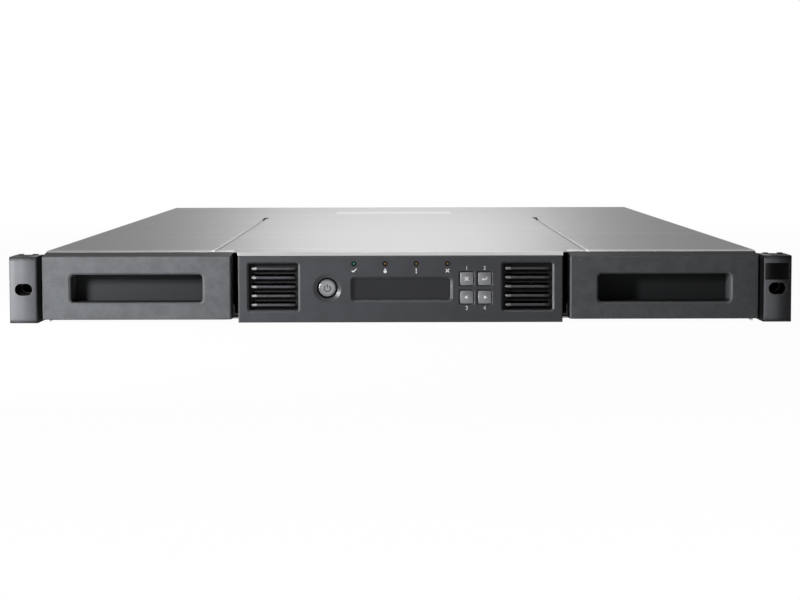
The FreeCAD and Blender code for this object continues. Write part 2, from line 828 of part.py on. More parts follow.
button_front = face + d.button_set_back
button_body = wall_back - button_front
finish("power_button", turned("power_button", (button_x, button_front, d.button_level),
                              [(0, 0), (d.button_radius - d.key_round, 0), (d.button_radius, d.key_round),
                               (d.button_radius, button_body), (d.button_flange_radius, button_body),
                               (d.button_flange_radius, button_body + 1), (d.stem_radius, button_body + 1),
                               (d.stem_radius, stem_end - button_front), (0, stem_end - button_front)]))

for word, (key_x, key_z) in key_spots.items():
    key_body = new_body(f"{word}_moulding")
    wide = d.key_size + 2 * d.key_flange
    drawing = sketch(key_body, "flange", "XZ_Plane", (key_x - wide / 2, key_z - wide / 2, -wall_back))
    feature(key_body, "Pad", "flange_pad", rectangle(drawing, wide, wide), 1.0, True)
    drawing = sketch(key_body, "cap", "XZ_Plane",
                     (key_x - d.key_size / 2, key_z - d.key_size / 2, -wall_back))
    cap_pad = feature(key_body, "Pad", "cap_pad", rectangle(drawing, d.key_size, d.key_size),
                      d.panel_wall + d.key_proud)
    doc.recompute()
    rounded = key_body.newObject("PartDesign::Fillet", "cap_round")
    key_front = wall_back - d.panel_wall - d.key_proud
    rounded.Base = (cap_pad, [f"Edge{number}" for number in edges_at(cap_pad, key_front)])
    bind(rounded, "Radius", d.key_round)
    drawing = sketch(key_body, "stem", "XZ_Plane", (key_x, key_z, -(wall_back + 0.5)))
    drawing.addGeometry(Part.Circle(Vector(), Vector(0, 0, 1), float(d.stem_radius)))
    drawing.addConstraint(Sketcher.Constraint("Coincident", 0, 3, -1, 1))
    held = drawing.addConstraint(Sketcher.Constraint("Radius", 0, float(d.stem_radius)))
    drawing.renameConstraint(held, "stem")
    bind(drawing, "Constraints.stem", d.stem_radius)
    feature(key_body, "Pad", "stem_pad", drawing, stem_end - wall_back - 0.5, True)
    crown = doc.addObject("Part::Sphere", "key_crown")
    crown_radius = (d.key_size * d.key_size / 4 + d.key_crown * d.key_crown) / (2 * d.key_crown)
    bind(crown, "Radius", crown_radius)
    for letter, value in zip("xyz", (key_x, key_front + crown_radius, key_z)):
        bind(crown, f"Placement.Base.{letter}", value)
    finish(f"{word}_key", common(f"{word}_key", key_body, crown))


def light_pipe(light_x):
    return turned("light_pipe", (light_x, face + 0.2, d.light_level),
                  [(0, 0), (d.light_radius, 0), (d.light_radius, d.panel_wall - 0.2),
                   (2 * d.light_radius, d.panel_wall - 0.2), (2 * d.light_radius, d.panel_wall + 0.8),
                   (d.light_radius, d.panel_wall + 0.8), (d.light_radius, d.board_set_back - 0.2),
                   (0, d.board_set_back - 0.2)])


finish("ready_light", light_pipe(light_spots[0]))
finish("status_lights", group("status_lights", *[light_pipe(spot) for spot in light_spots[1:]]))

# Magazines: a moulded front with a pull pocket, a four-slot tray behind it, one leaf spring per slot
magazine_in = panel_half + d.bay_gap
tray_out = bay_wall - d.slide_gap
tray_low = d.sheet + d.slide_gap
tray_start = seat + d.neck_length
tray_end = tray_start + d.tray_wall + d.slot_count * d.slot_pitch
slot_length = d.slot_pitch - d.tray_wall
grip_middle = (magazine_in + d.magazine_draft + magazine_out) / 2
for word, side in SIDES.items():
    block = taper("front_block", (face, seat),
                  (sided(side, magazine_in + d.magazine_draft, magazine_out),
                   (d.magazine_low, d.magazine_front_top)),
                  (sided(side, magazine_in, magazine_out - d.magazine_draft),
                   (d.magazine_low, d.unit_height - d.magazine_top_gap)))
    neck = box("front_neck", sided(side, d.tray_inner, tray_out), (seat - 2, tray_start),
               (tray_low, d.neck_high))
    wall = d.magazine_wall
    cavity = box("front_cavity", sided(side, d.tray_inner + wall, tray_out - wall),
                 (face + wall, tray_start + 1), (d.magazine_low + wall, d.neck_high - wall))
    grip_half = d.grip_width / 2 - d.grip_rim
    grip_high = d.grip_height / 2 - d.grip_rim
    pocket_wall = box("pocket_wall", sided(side, *about(grip_middle, grip_half + wall)),
                      (face + wall - 1, face + d.grip_depth + wall), about(d.grip_level, grip_high + wall))
    pocket_across = sided(side, *about(grip_middle, grip_half))
    pocket_up = about(d.grip_level, grip_high)
    pocket = soft_box("pull_pocket", pocket_across, (face - 1, face + d.grip_depth), pocket_up, d.grip_round)
    space = cut("front_space", cavity, pocket_wall)
    hollowed = cut("front_hollow", fuse("front_joined", block, neck), space)
    opened = cut("front_open", hollowed, pocket)
    pocket_edges = edges_at(opened, face, pocket_across, pocket_up)
    border = [number for number in edges_at(opened, face) if number not in pocket_edges]
    finish(f"{word}_magazine_front",
           dress("Chamfer", f"{word}_magazine_front", opened,
                 [(d.grip_rim, pocket_edges), (d.magazine_edge, border)]))

    tray = new_body(f"{word}_tray_moulding")
    tray_x = sided(side, d.tray_inner, tray_out)
    drawing = sketch(tray, "tray_outline", "XY_Plane", (tray_x[0], tray_start, tray_low))
    feature(tray, "Pad", "tray_block", rectangle(drawing, tray_x[1] - tray_x[0], tray_end - tray_start),
            d.tray_high - tray_low)
    slot_x = sided(side, d.tray_inner - 1, tray_out - d.tray_wall)
    drawing = sketch(tray, "slot_outline", "XY_Plane", (slot_x[0], tray_start + d.tray_wall, d.media_floor))
    slot = feature(tray, "Pocket", "slot", rectangle(drawing, slot_x[1] - slot_x[0], slot_length),
                   d.tray_high - d.media_floor + 1, True)
    slots = tray.newObject("PartDesign::LinearPattern", "slots")
    slots.Originals = [slot]
    slots.Direction = (drawing, ["V_Axis"])
    bind(slots, "Length", d.slot_pitch * (d.slot_count - 1))
    bind(slots, "Occurrences", d.slot_count)
    tray.Tip = slots
    doc.recompute()
    under_x = sided(side, d.tray_inner + d.tray_wall, tray_out - d.tray_wall)
    drawing = sketch(tray, "under_outline", "XY_Plane", (under_x[0], tray_start + d.tray_wall, tray_low))
    under = feature(tray, "Pocket", "under", rectangle(drawing, under_x[1] - under_x[0], slot_length),
                    d.media_floor - d.tray_floor - tray_low, True)
    unders = tray.newObject("PartDesign::LinearPattern", "unders")
    unders.Originals = [under]
    unders.Direction = (drawing, ["V_Axis"])
    bind(unders, "Length", d.slot_pitch * (d.slot_count - 1))
    bind(unders, "Occurrences", d.slot_count)
    tray.Tip = unders
    catch_level = (d.latch_low - 1, d.latch_high + 1)
    stem = box("catch_stem", sided(side, d.catch_offset, d.catch_offset + d.catch_stem),
               (tray_end - 1, tray_end + d.catch_length), catch_level)
    head = box("catch_head", sided(side, d.catch_offset, d.catch_offset + d.catch_head),
               (tray_end + d.catch_length - d.catch_thickness, tray_end + d.catch_length), catch_level)
    finish(f"{word}_magazine_tray", fuse(f"{word}_magazine_tray", tray, stem, head))

    springs = []
    leaf_wall = tray_out - d.tray_wall
    curve = (d.spring_chord * d.spring_chord / 4 + d.spring_bow * d.spring_bow) / (2 * d.spring_bow)
    for number in range(int(float(d.slot_count))):
        middle = tray_start + d.tray_wall + slot_length / 2 + number * d.slot_pitch
        centre = (side * (leaf_wall - d.spring_bow + curve), middle)
        upright = about(d.media_floor + d.media_height / 2, d.spring_width / 2)
        ring = cut("leaf_ring", rod("leaf_outer", "z", centre, curve, upright),
                   rod("leaf_inner", "z", centre, curve - d.spring_leaf, (upright[0] - 1, upright[1] + 1)))
        clip = box("leaf_clip", sided(side, leaf_wall - 2 * d.spring_bow, leaf_wall - 0.05),
                   about(middle, d.spring_chord / 2), upright)
        springs.append(common("leaf_spring", ring, clip))
    finish(f"{word}_magazine_springs", group(f"{word}_magazine_springs", *springs))

rails = []
for side in SIDES.values():
    rail_edge = d.tray_inner - d.slide_gap
    strip = box("rail_strip", sided(side, rail_edge - d.rail_width, rail_edge),
                (seat + d.neck_length, tray_end), (d.sheet, d.sheet + d.rail_sheet))
    upright = box("rail_upright", sided(side, rail_edge - d.rail_sheet, rail_edge),
                  (seat + d.neck_length, tray_end), (d.sheet, d.sheet + d.rail_height))
    rails.append(fuse("magazine_rail", strip, upright))
finish("magazine_rails", group("magazine_rails", *rails))

# Latches: a lever on a post behind each tray, drawn hooked and then turned to its released place
latch_y = tray_end + d.latch_behind_tray
latch_level = (d.latch_low, d.latch_high)
posts = []
solenoids = []
for word, side in SIDES.items():
    pivot_x = side * d.latch_offset
    arm = box("latch_arm", about(0, d.latch_width / 2), (-d.latch_reach, d.latch_tail), latch_level)
    hook = box("latch_hook", sided(side, -d.latch_hook, 0), (-d.latch_reach, d.hook_length - d.latch_reach),
               latch_level)
    hub = rod("latch_hub", "z", (0, 0), 3 * d.pivot_radius, latch_level)
    bore = rod("latch_bore", "z", (0, 0), d.pivot_radius + d.running_gap,
               (d.latch_low - 1, d.latch_high + 1))
    latch = cut(f"latch_{word}", fuse("latch_lever", arm, hook, hub), bore)
    latch.Placement = Placement(Vector(), Rotation(Vector(0, 0, 1), side * float(d.latch_release_angle)))
    bind(latch, "Placement.Base.x", pivot_x)
    bind(latch, "Placement.Base.y", latch_y)
    finish(f"latch_{word}", latch)
    posts.append(fuse("latch_post", rod("post_foot", "z", (pivot_x, latch_y), 2.5 * d.pivot_radius,
                                        (d.sheet, d.latch_low - d.slide_gap)),
                      rod("post_pin", "z", (pivot_x, latch_y), d.pivot_radius,
                          (d.latch_low - 1, d.latch_high + 1.5))))
    coil_end = d.latch_offset - d.solenoid_near
    coil_x = sided(side, coil_end - d.solenoid_width, coil_end)
    coil_y = latch_y + d.solenoid_behind + d.solenoid_depth / 2
    coil = box("solenoid_coil", coil_x, about(coil_y, d.solenoid_depth / 2),
               (d.latch_low - d.solenoid_rise, d.latch_high + d.solenoid_rise))
    foot = box("solenoid_foot", coil_x, about(coil_y, d.solenoid_foot / 2), (d.sheet, d.latch_low))
    plunger = rod("solenoid_plunger", "x", (coil_y, (d.latch_low + d.latch_high) / 2), d.plunger_radius,
                  sided(side, coil_end - 1, coil_end + d.plunger_reach))
    solenoids.append(fuse("latch_solenoid", coil, foot, plunger))
finish("latch_solenoids", group("latch_solenoids", *solenoids))

# Carriage: a plate on two rods, drawn along by a belt between an idler and a motor
rod_end = home + d.plate_half_length + 2 * d.rod_block - 2
rods = []
blocks = []
bushes = []
bush_bores = []
for side in SIDES.values():
    rod_x = side * d.rod_offset
    rods.append(rod("guide_rod", "y", (rod_x, d.rod_level), d.rod_radius, (face + d.rod_start, rod_end)))
    for low in (face + d.rod_start, rod_end - d.rod_block):
        block = box("rod_block", about(rod_x, 2 * d.rod_radius), (low, low + d.rod_block),
                    (d.sheet, d.plate_low + 0.1))
        blocks.append(cut("rod_support", block, rod("block_bore", "y", (rod_x, d.rod_level), d.rod_radius,
                                                    (low - 1, low + d.rod_block + 1))))
    for end in (-1, 1):
        middle = home + end * (d.plate_half_length - 7)
        bushes.append(box("bush_block", about(rod_x, 1.8 * d.rod_radius), about(middle, 7),
                          (d.sheet + 2 * d.slide_gap, d.plate_low + 0.5)))
    bush_bores.append(rod("bush_bore", "y", (rod_x, d.rod_level), d.rod_radius + d.running_gap,
                          about(home, d.plate_half_length + 1)))
finish("carriage_rods", group("carriage_rods", *rods))
finish("rod_supports", group("rod_supports", *blocks))

plate_top = d.plate_low + d.plate_thickness
table_low = plate_top + d.thrust_ring
table_high = table_low + d.turntable_thickness
turn_radius = d.turn_module * d.turntable_teeth / 2
pinion_radius = d.turn_module * d.pinion_teeth / 2
pinion_x = turn_radius + pinion_radius
post_near = pinion_radius + d.turn_module + 1.5
belt_x = -d.pulley_offset
belt_inner = d.pulley_radius + d.hole_gap
belt_outer = belt_inner + d.belt_thickness
plate = box("carriage_plate", about(0, d.plate_half_width), about(home, d.plate_half_length),
            (d.plate_low, plate_top))
post_far = post_near + d.beam_thickness
beam_near = pinion_x + d.turn_motor_width / 2
beam_far = beam_near + d.beam_thickness
beam = box("motor_beam", (beam_near, beam_far), about(home, post_far), (d.beam_low, d.beam_high))
legs = [box("motor_leg", (beam_near - d.beam_thickness, beam_far), (home + low, home + high),
            (plate_top - 0.5, d.beam_high))
        for low, high in ((-post_far, -post_near), (post_near, post_far))]
cheeks = [box("belt_clamp", (belt_x + low, belt_x + high), about(home, d.pulley_radius),
              (d.belt_low - 0.4, d.plate_low + 0.5))
          for low, high in ((belt_inner - d.slide_gap - d.belt_clamp, belt_inner - d.slide_gap),
                            (belt_outer + d.slide_gap, belt_outer + d.slide_gap + d.belt_clamp))]
relief = [box("plate_relief", (low, high), about(home, d.relief_length / 2),
              (d.plate_low - 1, plate_top + 1))
          for low, high in ((-d.relief_left, -d.relief_near), (d.relief_near, d.relief_right))]
pin_hole = rod("turn_hole", "z", (0, home), d.turn_pin_radius + d.running_gap,
               (d.plate_low - 1, plate_top + 1))
finish("carriage", cut("carriage", fuse("carriage_joined", plate, beam, *legs, *cheeks, *bushes),
                       pin_hole, *bush_bores, *relief))

idler_y = face + d.idler_distance
motor_y = face + d.motor_distance


def loop(name, radius, z):
    return fuse(name, box(name + "_run", about(belt_x, radius), (idler_y, motor_y), z),
                rod(name + "_turn", "z", (belt_x, idler_y), radius, z),
                rod(name + "_turn", "z", (belt_x, motor_y), radius, z))


belt_level = (d.belt_low, d.belt_high)
finish("drive_belt", cut("drive_belt", loop("belt_outside", belt_outer, belt_level),
                         loop("belt_inside", belt_inner, (d.belt_low - 1, d.belt_high + 1))))
pulley_low = d.belt_low - 0.6
pulley_high = d.belt_high + 0.5


def pulley(y):
    return [rod("pulley_drum", "z", (belt_x, y), d.pulley_radius, (pulley_low, pulley_high)),
            rod("pulley_flange", "z", (belt_x, y), d.pulley_radius + d.pulley_flange,
                (pulley_low, pulley_low + 0.4)),
            rod("pulley_flange", "z", (belt_x, y), d.pulley_radius + d.pulley_flange,
                (pulley_high - 0.4, pulley_high))]


finish("idler_pulley", cut("idler_pulley", fuse("idler_drum", *pulley(idler_y)),
                           rod("idler_bore", "z", (belt_x, idler_y), d.pivot_radius + d.running_gap,
                               (0, d.plate_low))))
finish("pivot_posts", group("pivot_posts", *posts,
                            fuse("idler_post", rod("idler_foot", "z", (belt_x, idler_y), 2 * d.pivot_radius,
                                                   (d.sheet, pulley_low - d.slide_gap)),
                                 rod("idler_pin", "z", (belt_x, idler_y), d.pivot_radius,
                                     (d.sheet, pulley_high)))))
bracket_top = d.plate_low + 2.2
finish("motor_pulley", fuse("motor_pulley", *pulley(motor_y),
                            rod("motor_shaft", "z", (belt_x, motor_y), d.pivot_radius,
                                (pulley_high - 1, bracket_top + 4))))
finish("carriage_motor", cut("carriage_motor", rod("motor_can", "z", (belt_x, motor_y), d.motor_radius,
                                                   (bracket_top, d.motor_high)),
                             rod("motor_bore", "z", (belt_x, motor_y), d.pivot_radius + d.running_gap,
                                 (bracket_top - 1, bracket_top + 6))))
shelf = box("bracket_shelf", (belt_x - 20, belt_x + 16), (motor_y - 12, motor_y + 12),
            (bracket_top - 1.8, bracket_top))
shelf_legs = [box("bracket_leg", (belt_x + 12, belt_x + 16), (motor_y - 10, motor_y + 12),
                  (d.sheet, bracket_top - 1)),
              box("bracket_leg", (belt_x - 20, belt_x - 16), (motor_y, motor_y + 12),
                  (d.sheet, bracket_top - 1))]
finish("motor_bracket", cut("motor_bracket", fuse("bracket_folded", shelf, *shelf_legs),
                            rod("bracket_hole", "z", (belt_x, motor_y), 3 * d.pivot_radius,
                                (bracket_top - 3, bracket_top + 1))))


def tooth_points(module, teeth, number, start):
    # One gear tooth as three radii on either flank, thinned by half the backlash on each side
    module = float(module)
    radius = module * teeth / 2
    half = (math.pi * module / 2 - float(d.backlash)) / 2
    lean = math.tan(math.radians(20))
    points = []
    for height in (-1.25, 0.0, 1.0):
        reach = radius + height * module
        thick = half - height * module * lean * (0.9 if height > 0 else 1.0)
        points.append((reach, max(thick, 0.1) / radius))
    middle = start + 2 * math.pi * number / teeth
    rising = [(reach, middle - angle) for reach, angle in points]
    falling = [(reach, middle + angle) for reach, angle in reversed(points)]
    return [Vector(reach * math.cos(angle), reach * math.sin(angle), 0) for reach, angle in rising + falling]


def gear_solid(module, teeth, numbers, start, thickness):
    # Teeth where numbers asks for them, a plain rim at the root circle elsewhere
    points = [point for number in numbers for point in tooth_points(module, teeth, number, start)]
    edges = [Part.LineSegment(points[number], points[number + 1]).toShape()
             for number in range(len(points) - 1)]
    if len(numbers) == teeth:
        edges.append(Part.LineSegment(points[-1], points[0]).toShape())
    else:
        root = float(module) * teeth / 2 - 1.25 * float(module)
        edges.append(Part.Arc(points[-1], Vector(-root, 0, 0), points[0]).toShape())
    return Part.Face(Part.Wire(edges)).extrude(Vector(0, 0, float(thickness)))


# Turntable with a gear sector, its thrust ring, and the pinion that turns it
table_teeth = int(float(d.turntable_teeth))
small_teeth = int(float(d.pinion_teeth))
reach_teeth = math.ceil(table_teeth * 105 / 360)
sector = doc.addObject("Part::Feature", "turntable_sector")
sector.Shape = gear_solid(d.turn_module, table_teeth, range(-reach_teeth, reach_teeth + 1), 0.0,
                          d.turntable_thickness)
bind(sector, "Placement.Base.y", home)
bind(sector, "Placement.Base.z", table_low)
table_pin = rod("turntable_pin", "z", (0, home), d.turn_pin_radius, (d.plate_low - 1.4, table_low + 0.5))
finish("turntable", fuse("turntable", sector, table_pin))
finish("thrust_ring", cut("thrust_ring", rod("ring_outer", "z", (0, home), 26, (plate_top, table_low)),
                          rod("ring_inner", "z", (0, home), 2 * d.turn_pin_radius,
                              (plate_top - 1, table_low + 1))))
pinion = doc.addObject("Part::Feature", "pinion_teeth_ring")
pinion.Shape = gear_solid(d.turn_module, small_teeth, range(small_teeth), math.pi / small_teeth,
                          d.turntable_thickness - d.slide_gap)
bind(pinion, "Placement.Base.x", pinion_x)
bind(pinion, "Placement.Base.y", home)
bind(pinion, "Placement.Base.z", table_low)
finish("turn_pinion", fuse("turn_pinion", pinion,
                           rod("pinion_shaft", "z", (pinion_x, home), d.stem_radius,
                               (table_low, d.beam_low + 2))))
finish("turn_motor", cut("turn_motor", box("turn_motor_case", about(pinion_x, d.turn_motor_width / 2),
                                           about(home, d.turn_motor_length / 2),
                                           (d.beam_low, d.turn_motor_high)),
                         rod("turn_motor_bore", "z", (pinion_x, home), d.stem_radius + d.running_gap,
                             (d.beam_low - 1, d.beam_low + 3))))

# Picker frame: a channel for one cartridge with a bridge across its top
frame_out = d.picker_half_width + d.picker_sheet
frame_y = about(home, d.picker_half_length)
frame_high = d.media_floor + d.media_height
gripper_radius = d.rack_module * d.gripper_teeth / 2
pitch_level = d.arm_low + d.rack_module
gripper_y = home + d.gripper_pinion_forward
gripper_z = pitch_level - gripper_radius
frame_solids = [box("picker_floor", about(0, frame_out), frame_y, (table_high, d.media_floor)),
                box("picker_bridge", about(0, frame_out), about(home, d.picker_bridge),
                    (frame_high, frame_high + d.picker_sheet))]
for side in SIDES.values():
    frame_solids.append(box("picker_wall", sided(side, d.picker_half_width, frame_out), frame_y,
                            (table_high, frame_high + d.picker_sheet)))
frame_holes = [rod("gripper_hole", "x", (gripper_y, gripper_z), 1.0 + d.running_gap,
                   (d.picker_half_width - 1, frame_out + 1)),
               box("wall_window", (-frame_out - 1, -d.picker_half_width + 1),
                   about(home + d.window_forward, d.window_length / 2), (d.window_low, d.window_high))]
frame_holes += [box("floor_window", about(0, d.window_width / 2), about(home + place, d.window_length / 2),
                    (table_high - 1, d.media_floor + 1)) for place in (-d.window_forward, d.window_forward)]
finish("picker_frame", cut("picker_frame", fuse("picker_folded", *frame_solids), *frame_holes))
finish("barcode_reader", box("barcode_reader", (-frame_out - 9, -frame_out), about(home + 14, 12), (18, 32)))

# Gripper: a flat arm with a hook and a rack below it, its pinion and flat motor
arm_out = d.picker_half_width - d.slide_gap
rack_pitch = math.pi * float(d.rack_module)
rack_half = (rack_pitch / 2 - float(d.backlash) * 0.6) / 2
rack_lean = math.tan(math.radians(20)) * float(d.rack_module)
rack_count = int((float(d.arm_rear) + float(d.gripper_pinion_forward)) / rack_pitch) - 1
root_level = float(pitch_level + 1.25 * d.rack_module)
arm_points = [Vector(0, -float(d.arm_rear), root_level)]
for number in range(-rack_count, 1):
    middle = float(d.gripper_pinion_forward) + (number + 0.5) * rack_pitch
    for sign in (-1, 1):
        foot = Vector(0, middle + sign * (rack_half + 1.25 * rack_lean), root_level)
        tip = Vector(0, middle + sign * (rack_half - rack_lean), float(d.arm_low))
        arm_points += [foot, tip] if sign < 0 else [tip, foot]
arm_points += [Vector(0, float(d.arm_front), root_level), Vector(0, float(d.arm_front), float(d.arm_high)),
               Vector(0, -float(d.arm_rear), float(d.arm_high))]
arm_face = Part.Face(Part.makePolygon(arm_points + [arm_points[0]]))
arm_blank = doc.addObject("Part::Feature", "gripper_blank")
arm_blank.Shape = arm_face.extrude(Vector(float(d.arm_thickness), 0, 0))
bind(arm_blank, "Placement.Base.x", arm_out - d.arm_thickness)
bind(arm_blank, "Placement.Base.y", home)
nib = taper("gripper_nib", (home + d.arm_front - 5, home + d.arm_front),
            ((arm_out - d.arm_thickness - 0.1, arm_out - 1), (d.arm_low + 2, d.arm_high)),
            ((arm_out - d.arm_thickness - d.arm_hook, arm_out - 1), (d.arm_low + 2, d.arm_high)))
finish("gripper_arm", fuse("gripper_arm", arm_blank, nib))
gripper_wheel = doc.addObject("Part::Feature", "gripper_wheel")
wheel_teeth = int(float(d.gripper_teeth))
gripper_wheel.Shape = gear_solid(d.rack_module, wheel_teeth, range(wheel_teeth), 0.0, 2.0)
gripper_wheel.Placement = Placement(Vector(), Rotation(Vector(0, 1, 0), 90) * Rotation(Vector(0, 0, 1), 180))
bind(gripper_wheel, "Placement.Base.x", arm_out - 2.2)
bind(gripper_wheel, "Placement.Base.y", gripper_y)
bind(gripper_wheel, "Placement.Base.z", gripper_z)
finish("gripper_pinion", fuse("gripper_pinion", gripper_wheel,
                              rod("gripper_shaft", "x", (gripper_y, gripper_z), 1.0,
                                  (arm_out - 1, frame_out + 2))))
finish("gripper_motor", cut("gripper_motor", rod("gripper_can", "x", (gripper_y, gripper_z + 2), 8,
                                                 (frame_out, frame_out + 6)),
                            rod("gripper_bore", "x", (gripper_y, gripper_z), 1.0 + d.running_gap,
                                (frame_out - 1, frame_out + 3))))

# Tape drive on its sled, with the plate, connectors and knobs at the rear
drive_half = d.drive_width / 2
mouth = box("drive_mouth", about(0, d.mouth_width / 2), (drive_front - 1, drive_front + d.mouth_depth),
            (d.media_floor - 0.5, d.media_floor + d.media_height + 0.5))
chin = taper("mouth_lead", (drive_front - 1, drive_front + 2),
             (about(0, d.mouth_width / 2 + 3), (d.media_floor - 3.5, d.media_floor + d.media_height + 3.5)),
             (about(0, d.mouth_width / 2), (d.media_floor - 0.5, d.media_floor + d.media_height + 0.5)))
plate_back = back + d.drive_plate
plugs = [about(side * 20, 9) for side in SIDES.values()]
plug_level = (27, 36)
plug_cases = [box("plug_case", plug, (drive_rear - 1, plate_back + 1.5), plug_level) for plug in plugs]
plug_pits = [box("plug_pit", (low + 1.2, high - 1.2), (back - 6, plate_back + 3),
                 (plug_level[0] + 1.5, plug_level[1] - 1.5)) for low, high in plugs]
drive_case = box("drive_case", about(0, drive_half), (drive_front, drive_rear), (d.drive_low, d.drive_high))
finish("tape_drive", cut("tape_drive", fuse("drive_joined", drive_case, *plug_cases), mouth, chin,
                         *plug_pits))
sled_solids = [box("sled_floor", about(0, drive_half + d.sheet), (drive_front, wall_end),
                   (d.sheet, d.drive_low))]
for side in SIDES.values():
    sled_solids.append(box("sled_side", sided(side, drive_half, drive_half + d.sheet),
                           (drive_front, wall_end), (d.sheet, d.drive_low + d.sled_flange)))
finish("drive_sled", fuse("drive_sled", *sled_solids))
knobs = []
plate_holes = [box("plug_hole", (low - 0.3, high + 0.3), (back - 1, plate_back + 1),
                   (plug_level[0] - 0.3, plug_level[1] + 0.3)) for low, high in plugs]
plate_holes += [box("plate_vent", about(0, d.plate_vent_length / 2), (back - 1, plate_back + 1),
                    about(d.plate_vent_low + number * d.plate_vent_pitch, d.plate_vent_pitch / 4))
                for number in range(3)]
rear_knob_holes = []
for side in SIDES.values():
    spot = (side * d.knob_offset, d.unit_height / 2)
    plate_holes.append(rod("knob_hole", "y", spot, screw_hole, (back - 1, plate_back + 1)))
    rear_knob_holes.append(rod("rear_knob_hole", "y", spot, screw_hole, (wall_end - 1, back + 1)))
    grip = rod("knob_grip", "y", spot, d.knob_radius, (plate_back, back + d.rear_proud))
    stem = rod("knob_stem", "y", spot, d.screw_radius, (wall_end, plate_back + 1))
    knobs.append(fuse("sled_knob", grip, stem))
plate_blank = box("plate_blank", about(0, d.drive_plate_width / 2), (back, plate_back),
                  (d.drive_low, d.unit_height - d.drive_plate_margin))
finish("drive_plate", cut("drive_plate", plate_blank, *plate_holes))
finish("sled_knobs", group("sled_knobs", *knobs))

# Power supply with its inlet and fan on the left
supply_x = (-d.supply_inner - d.supply_width, -d.supply_inner)
fan_x = -d.fan_offset
fan_z = d.unit_height / 2 - 0.1
fan_y = (wall_end - d.fan_depth - d.slide_gap, wall_end - d.slide_gap)
supply_end = fan_y[0] - d.supply_clear
finish("power_supply", box("power_supply", supply_x, (supply_end - d.supply_length, supply_end),
                           (d.sheet, roof - 2 * d.slide_gap)))
square = box("fan_square", about(fan_x, d.fan_size / 2), fan_y, about(fan_z, d.fan_size / 2))
bore = rod("fan_bore_hole", "y", (fan_x, fan_z), d.fan_bore, (fan_y[0] - 1, fan_y[1] + 1))
spoke_y = (fan_y[0], fan_y[0] + 3)
spokes = [box("fan_spoke", about(fan_x, d.fan_bore + 0.5), spoke_y, about(fan_z, 1.2)),
          box("fan_spoke", about(fan_x, 1.2), spoke_y, about(fan_z, d.fan_bore + 0.5)),
          rod("fan_hub_plate", "y", (fan_x, fan_z), d.fan_hub, spoke_y),
          rod("fan_pin", "y", (fan_x, fan_z), d.stem_radius, (spoke_y[0] + 1, fan_y[1] - 8))]
finish("fan_frame", fuse("fan_frame", cut("fan_ring", square, bore), *spokes))
rotor_y = (spoke_y[1] + 0.6, fan_y[1] - 3)
hub = rod("rotor_hub", "y", (fan_x, fan_z), d.fan_hub, rotor_y)
hub_bore = rod("rotor_bore", "y", (fan_x, fan_z), d.stem_radius + d.running_gap,
               (rotor_y[0] - 1, fan_y[1] - 7))
blades = []
for number in range(7):
    blade = doc.addObject("Part::Box", "rotor_blade")
    bind(blade, "Length", 12)
    bind(blade, "Width", 16)
    bind(blade, "Height", 0.9)
    turn = Rotation(Vector(0, 1, 0), number * 360 / 7)
    tilt = turn * Rotation(Vector(1, 0, 0), 38)
    middle = Vector(float(fan_x), float(rotor_y[0] + rotor_y[1]) / 2, float(fan_z))
    root = Vector(float(d.fan_hub) - 1.5, -8, -0.45)
    blade.Placement = Placement(middle, tilt) * Placement(root, Rotation())
    blades.append(blade)
sweep = rod("rotor_sweep", "y", (fan_x, fan_z), d.fan_sweep, rotor_y)
rotor = cut("rotor_bored", fuse("rotor_joined", hub, *blades), hub_bore)
finish("fan_rotor", common("fan_rotor", rotor, sweep))

inlet_x = about(-d.inlet_offset, d.inlet_width / 2)
inlet_z = about(d.inlet_level, d.inlet_height / 2)
inlet_back = back + 1.6
inlet_case = fuse("inlet_case", box("inlet_body", inlet_x, (back - 24, inlet_back), inlet_z),
                  box("inlet_flange", (inlet_x[0] - 4, inlet_x[1] + 4), (back, inlet_back),
                      (inlet_z[0] - 2.5, inlet_z[1] + 2.5)))
inlet_pit = soft_box("inlet_pit", (inlet_x[0] + 1.8, inlet_x[1] - 1.8), (back - 17, inlet_back + 1),
                     (inlet_z[0] + 1.8, inlet_z[1] - 1.8), 2.0)
inlet_pins = [box("inlet_pin", about(-d.inlet_offset + across, 1), (back - 18, back - 6),
                  about(d.inlet_level + up, 2)) for across, up in ((-7, -1.5), (0, 2.5), (7, -1.5))]
finish("power_inlet", fuse("power_inlet", cut("inlet_open", inlet_case, inlet_pit), *inlet_pins))

# Controller board on the right with its parts and ports
controller_top = d.controller_level + d.board_thickness
finish("controller_board", box("controller_board", controller_x, controller_y,
                               (d.controller_level, controller_top)))
sink_x = about(controller_x[0] + d.sink_across, d.sink_size / 2)
sink_y = about(controller_y[0] + d.sink_along, d.sink_size / 2)
sink = [box("sink_base", sink_x, sink_y, (controller_top, controller_top + d.sink_base))]
fin_count = math.floor(float((d.sink_size - d.fin_thickness) / d.fin_pitch) + 1e-6) + 1
fin_starts = [sink_x[0] + number * d.fin_pitch for number in range(fin_count)]
sink += [box("sink_fin", (start, start + d.fin_thickness), sink_y,
             (controller_top + d.sink_base / 2, controller_top + d.sink_height)) for start in fin_starts]
chips = [fuse("heat_sink", *sink)]
chip_row = controller_x[1] - d.chip_inset
chip_spots = ((controller_x[0] + d.chip_across, d.chip_along),
              (chip_row, d.chip_along), (chip_row, d.chip_along + d.chip_pitch))
chips += [box("board_chip", about(across, d.chip_width / 2),
              about(controller_y[0] + along, d.chip_length / 2),
              (controller_top, controller_top + d.chip_height)) for across, along in chip_spots]
capacitor_row = controller_x[1] - d.capacitor_inset
chips += [rod("board_capacitor", "z", (capacitor_row - number * d.capacitor_pitch,
                                       controller_y[0] + d.capacitor_along), d.capacitor_radius,
              (controller_top, controller_top + d.capacitor_height)) for number in range(3)]
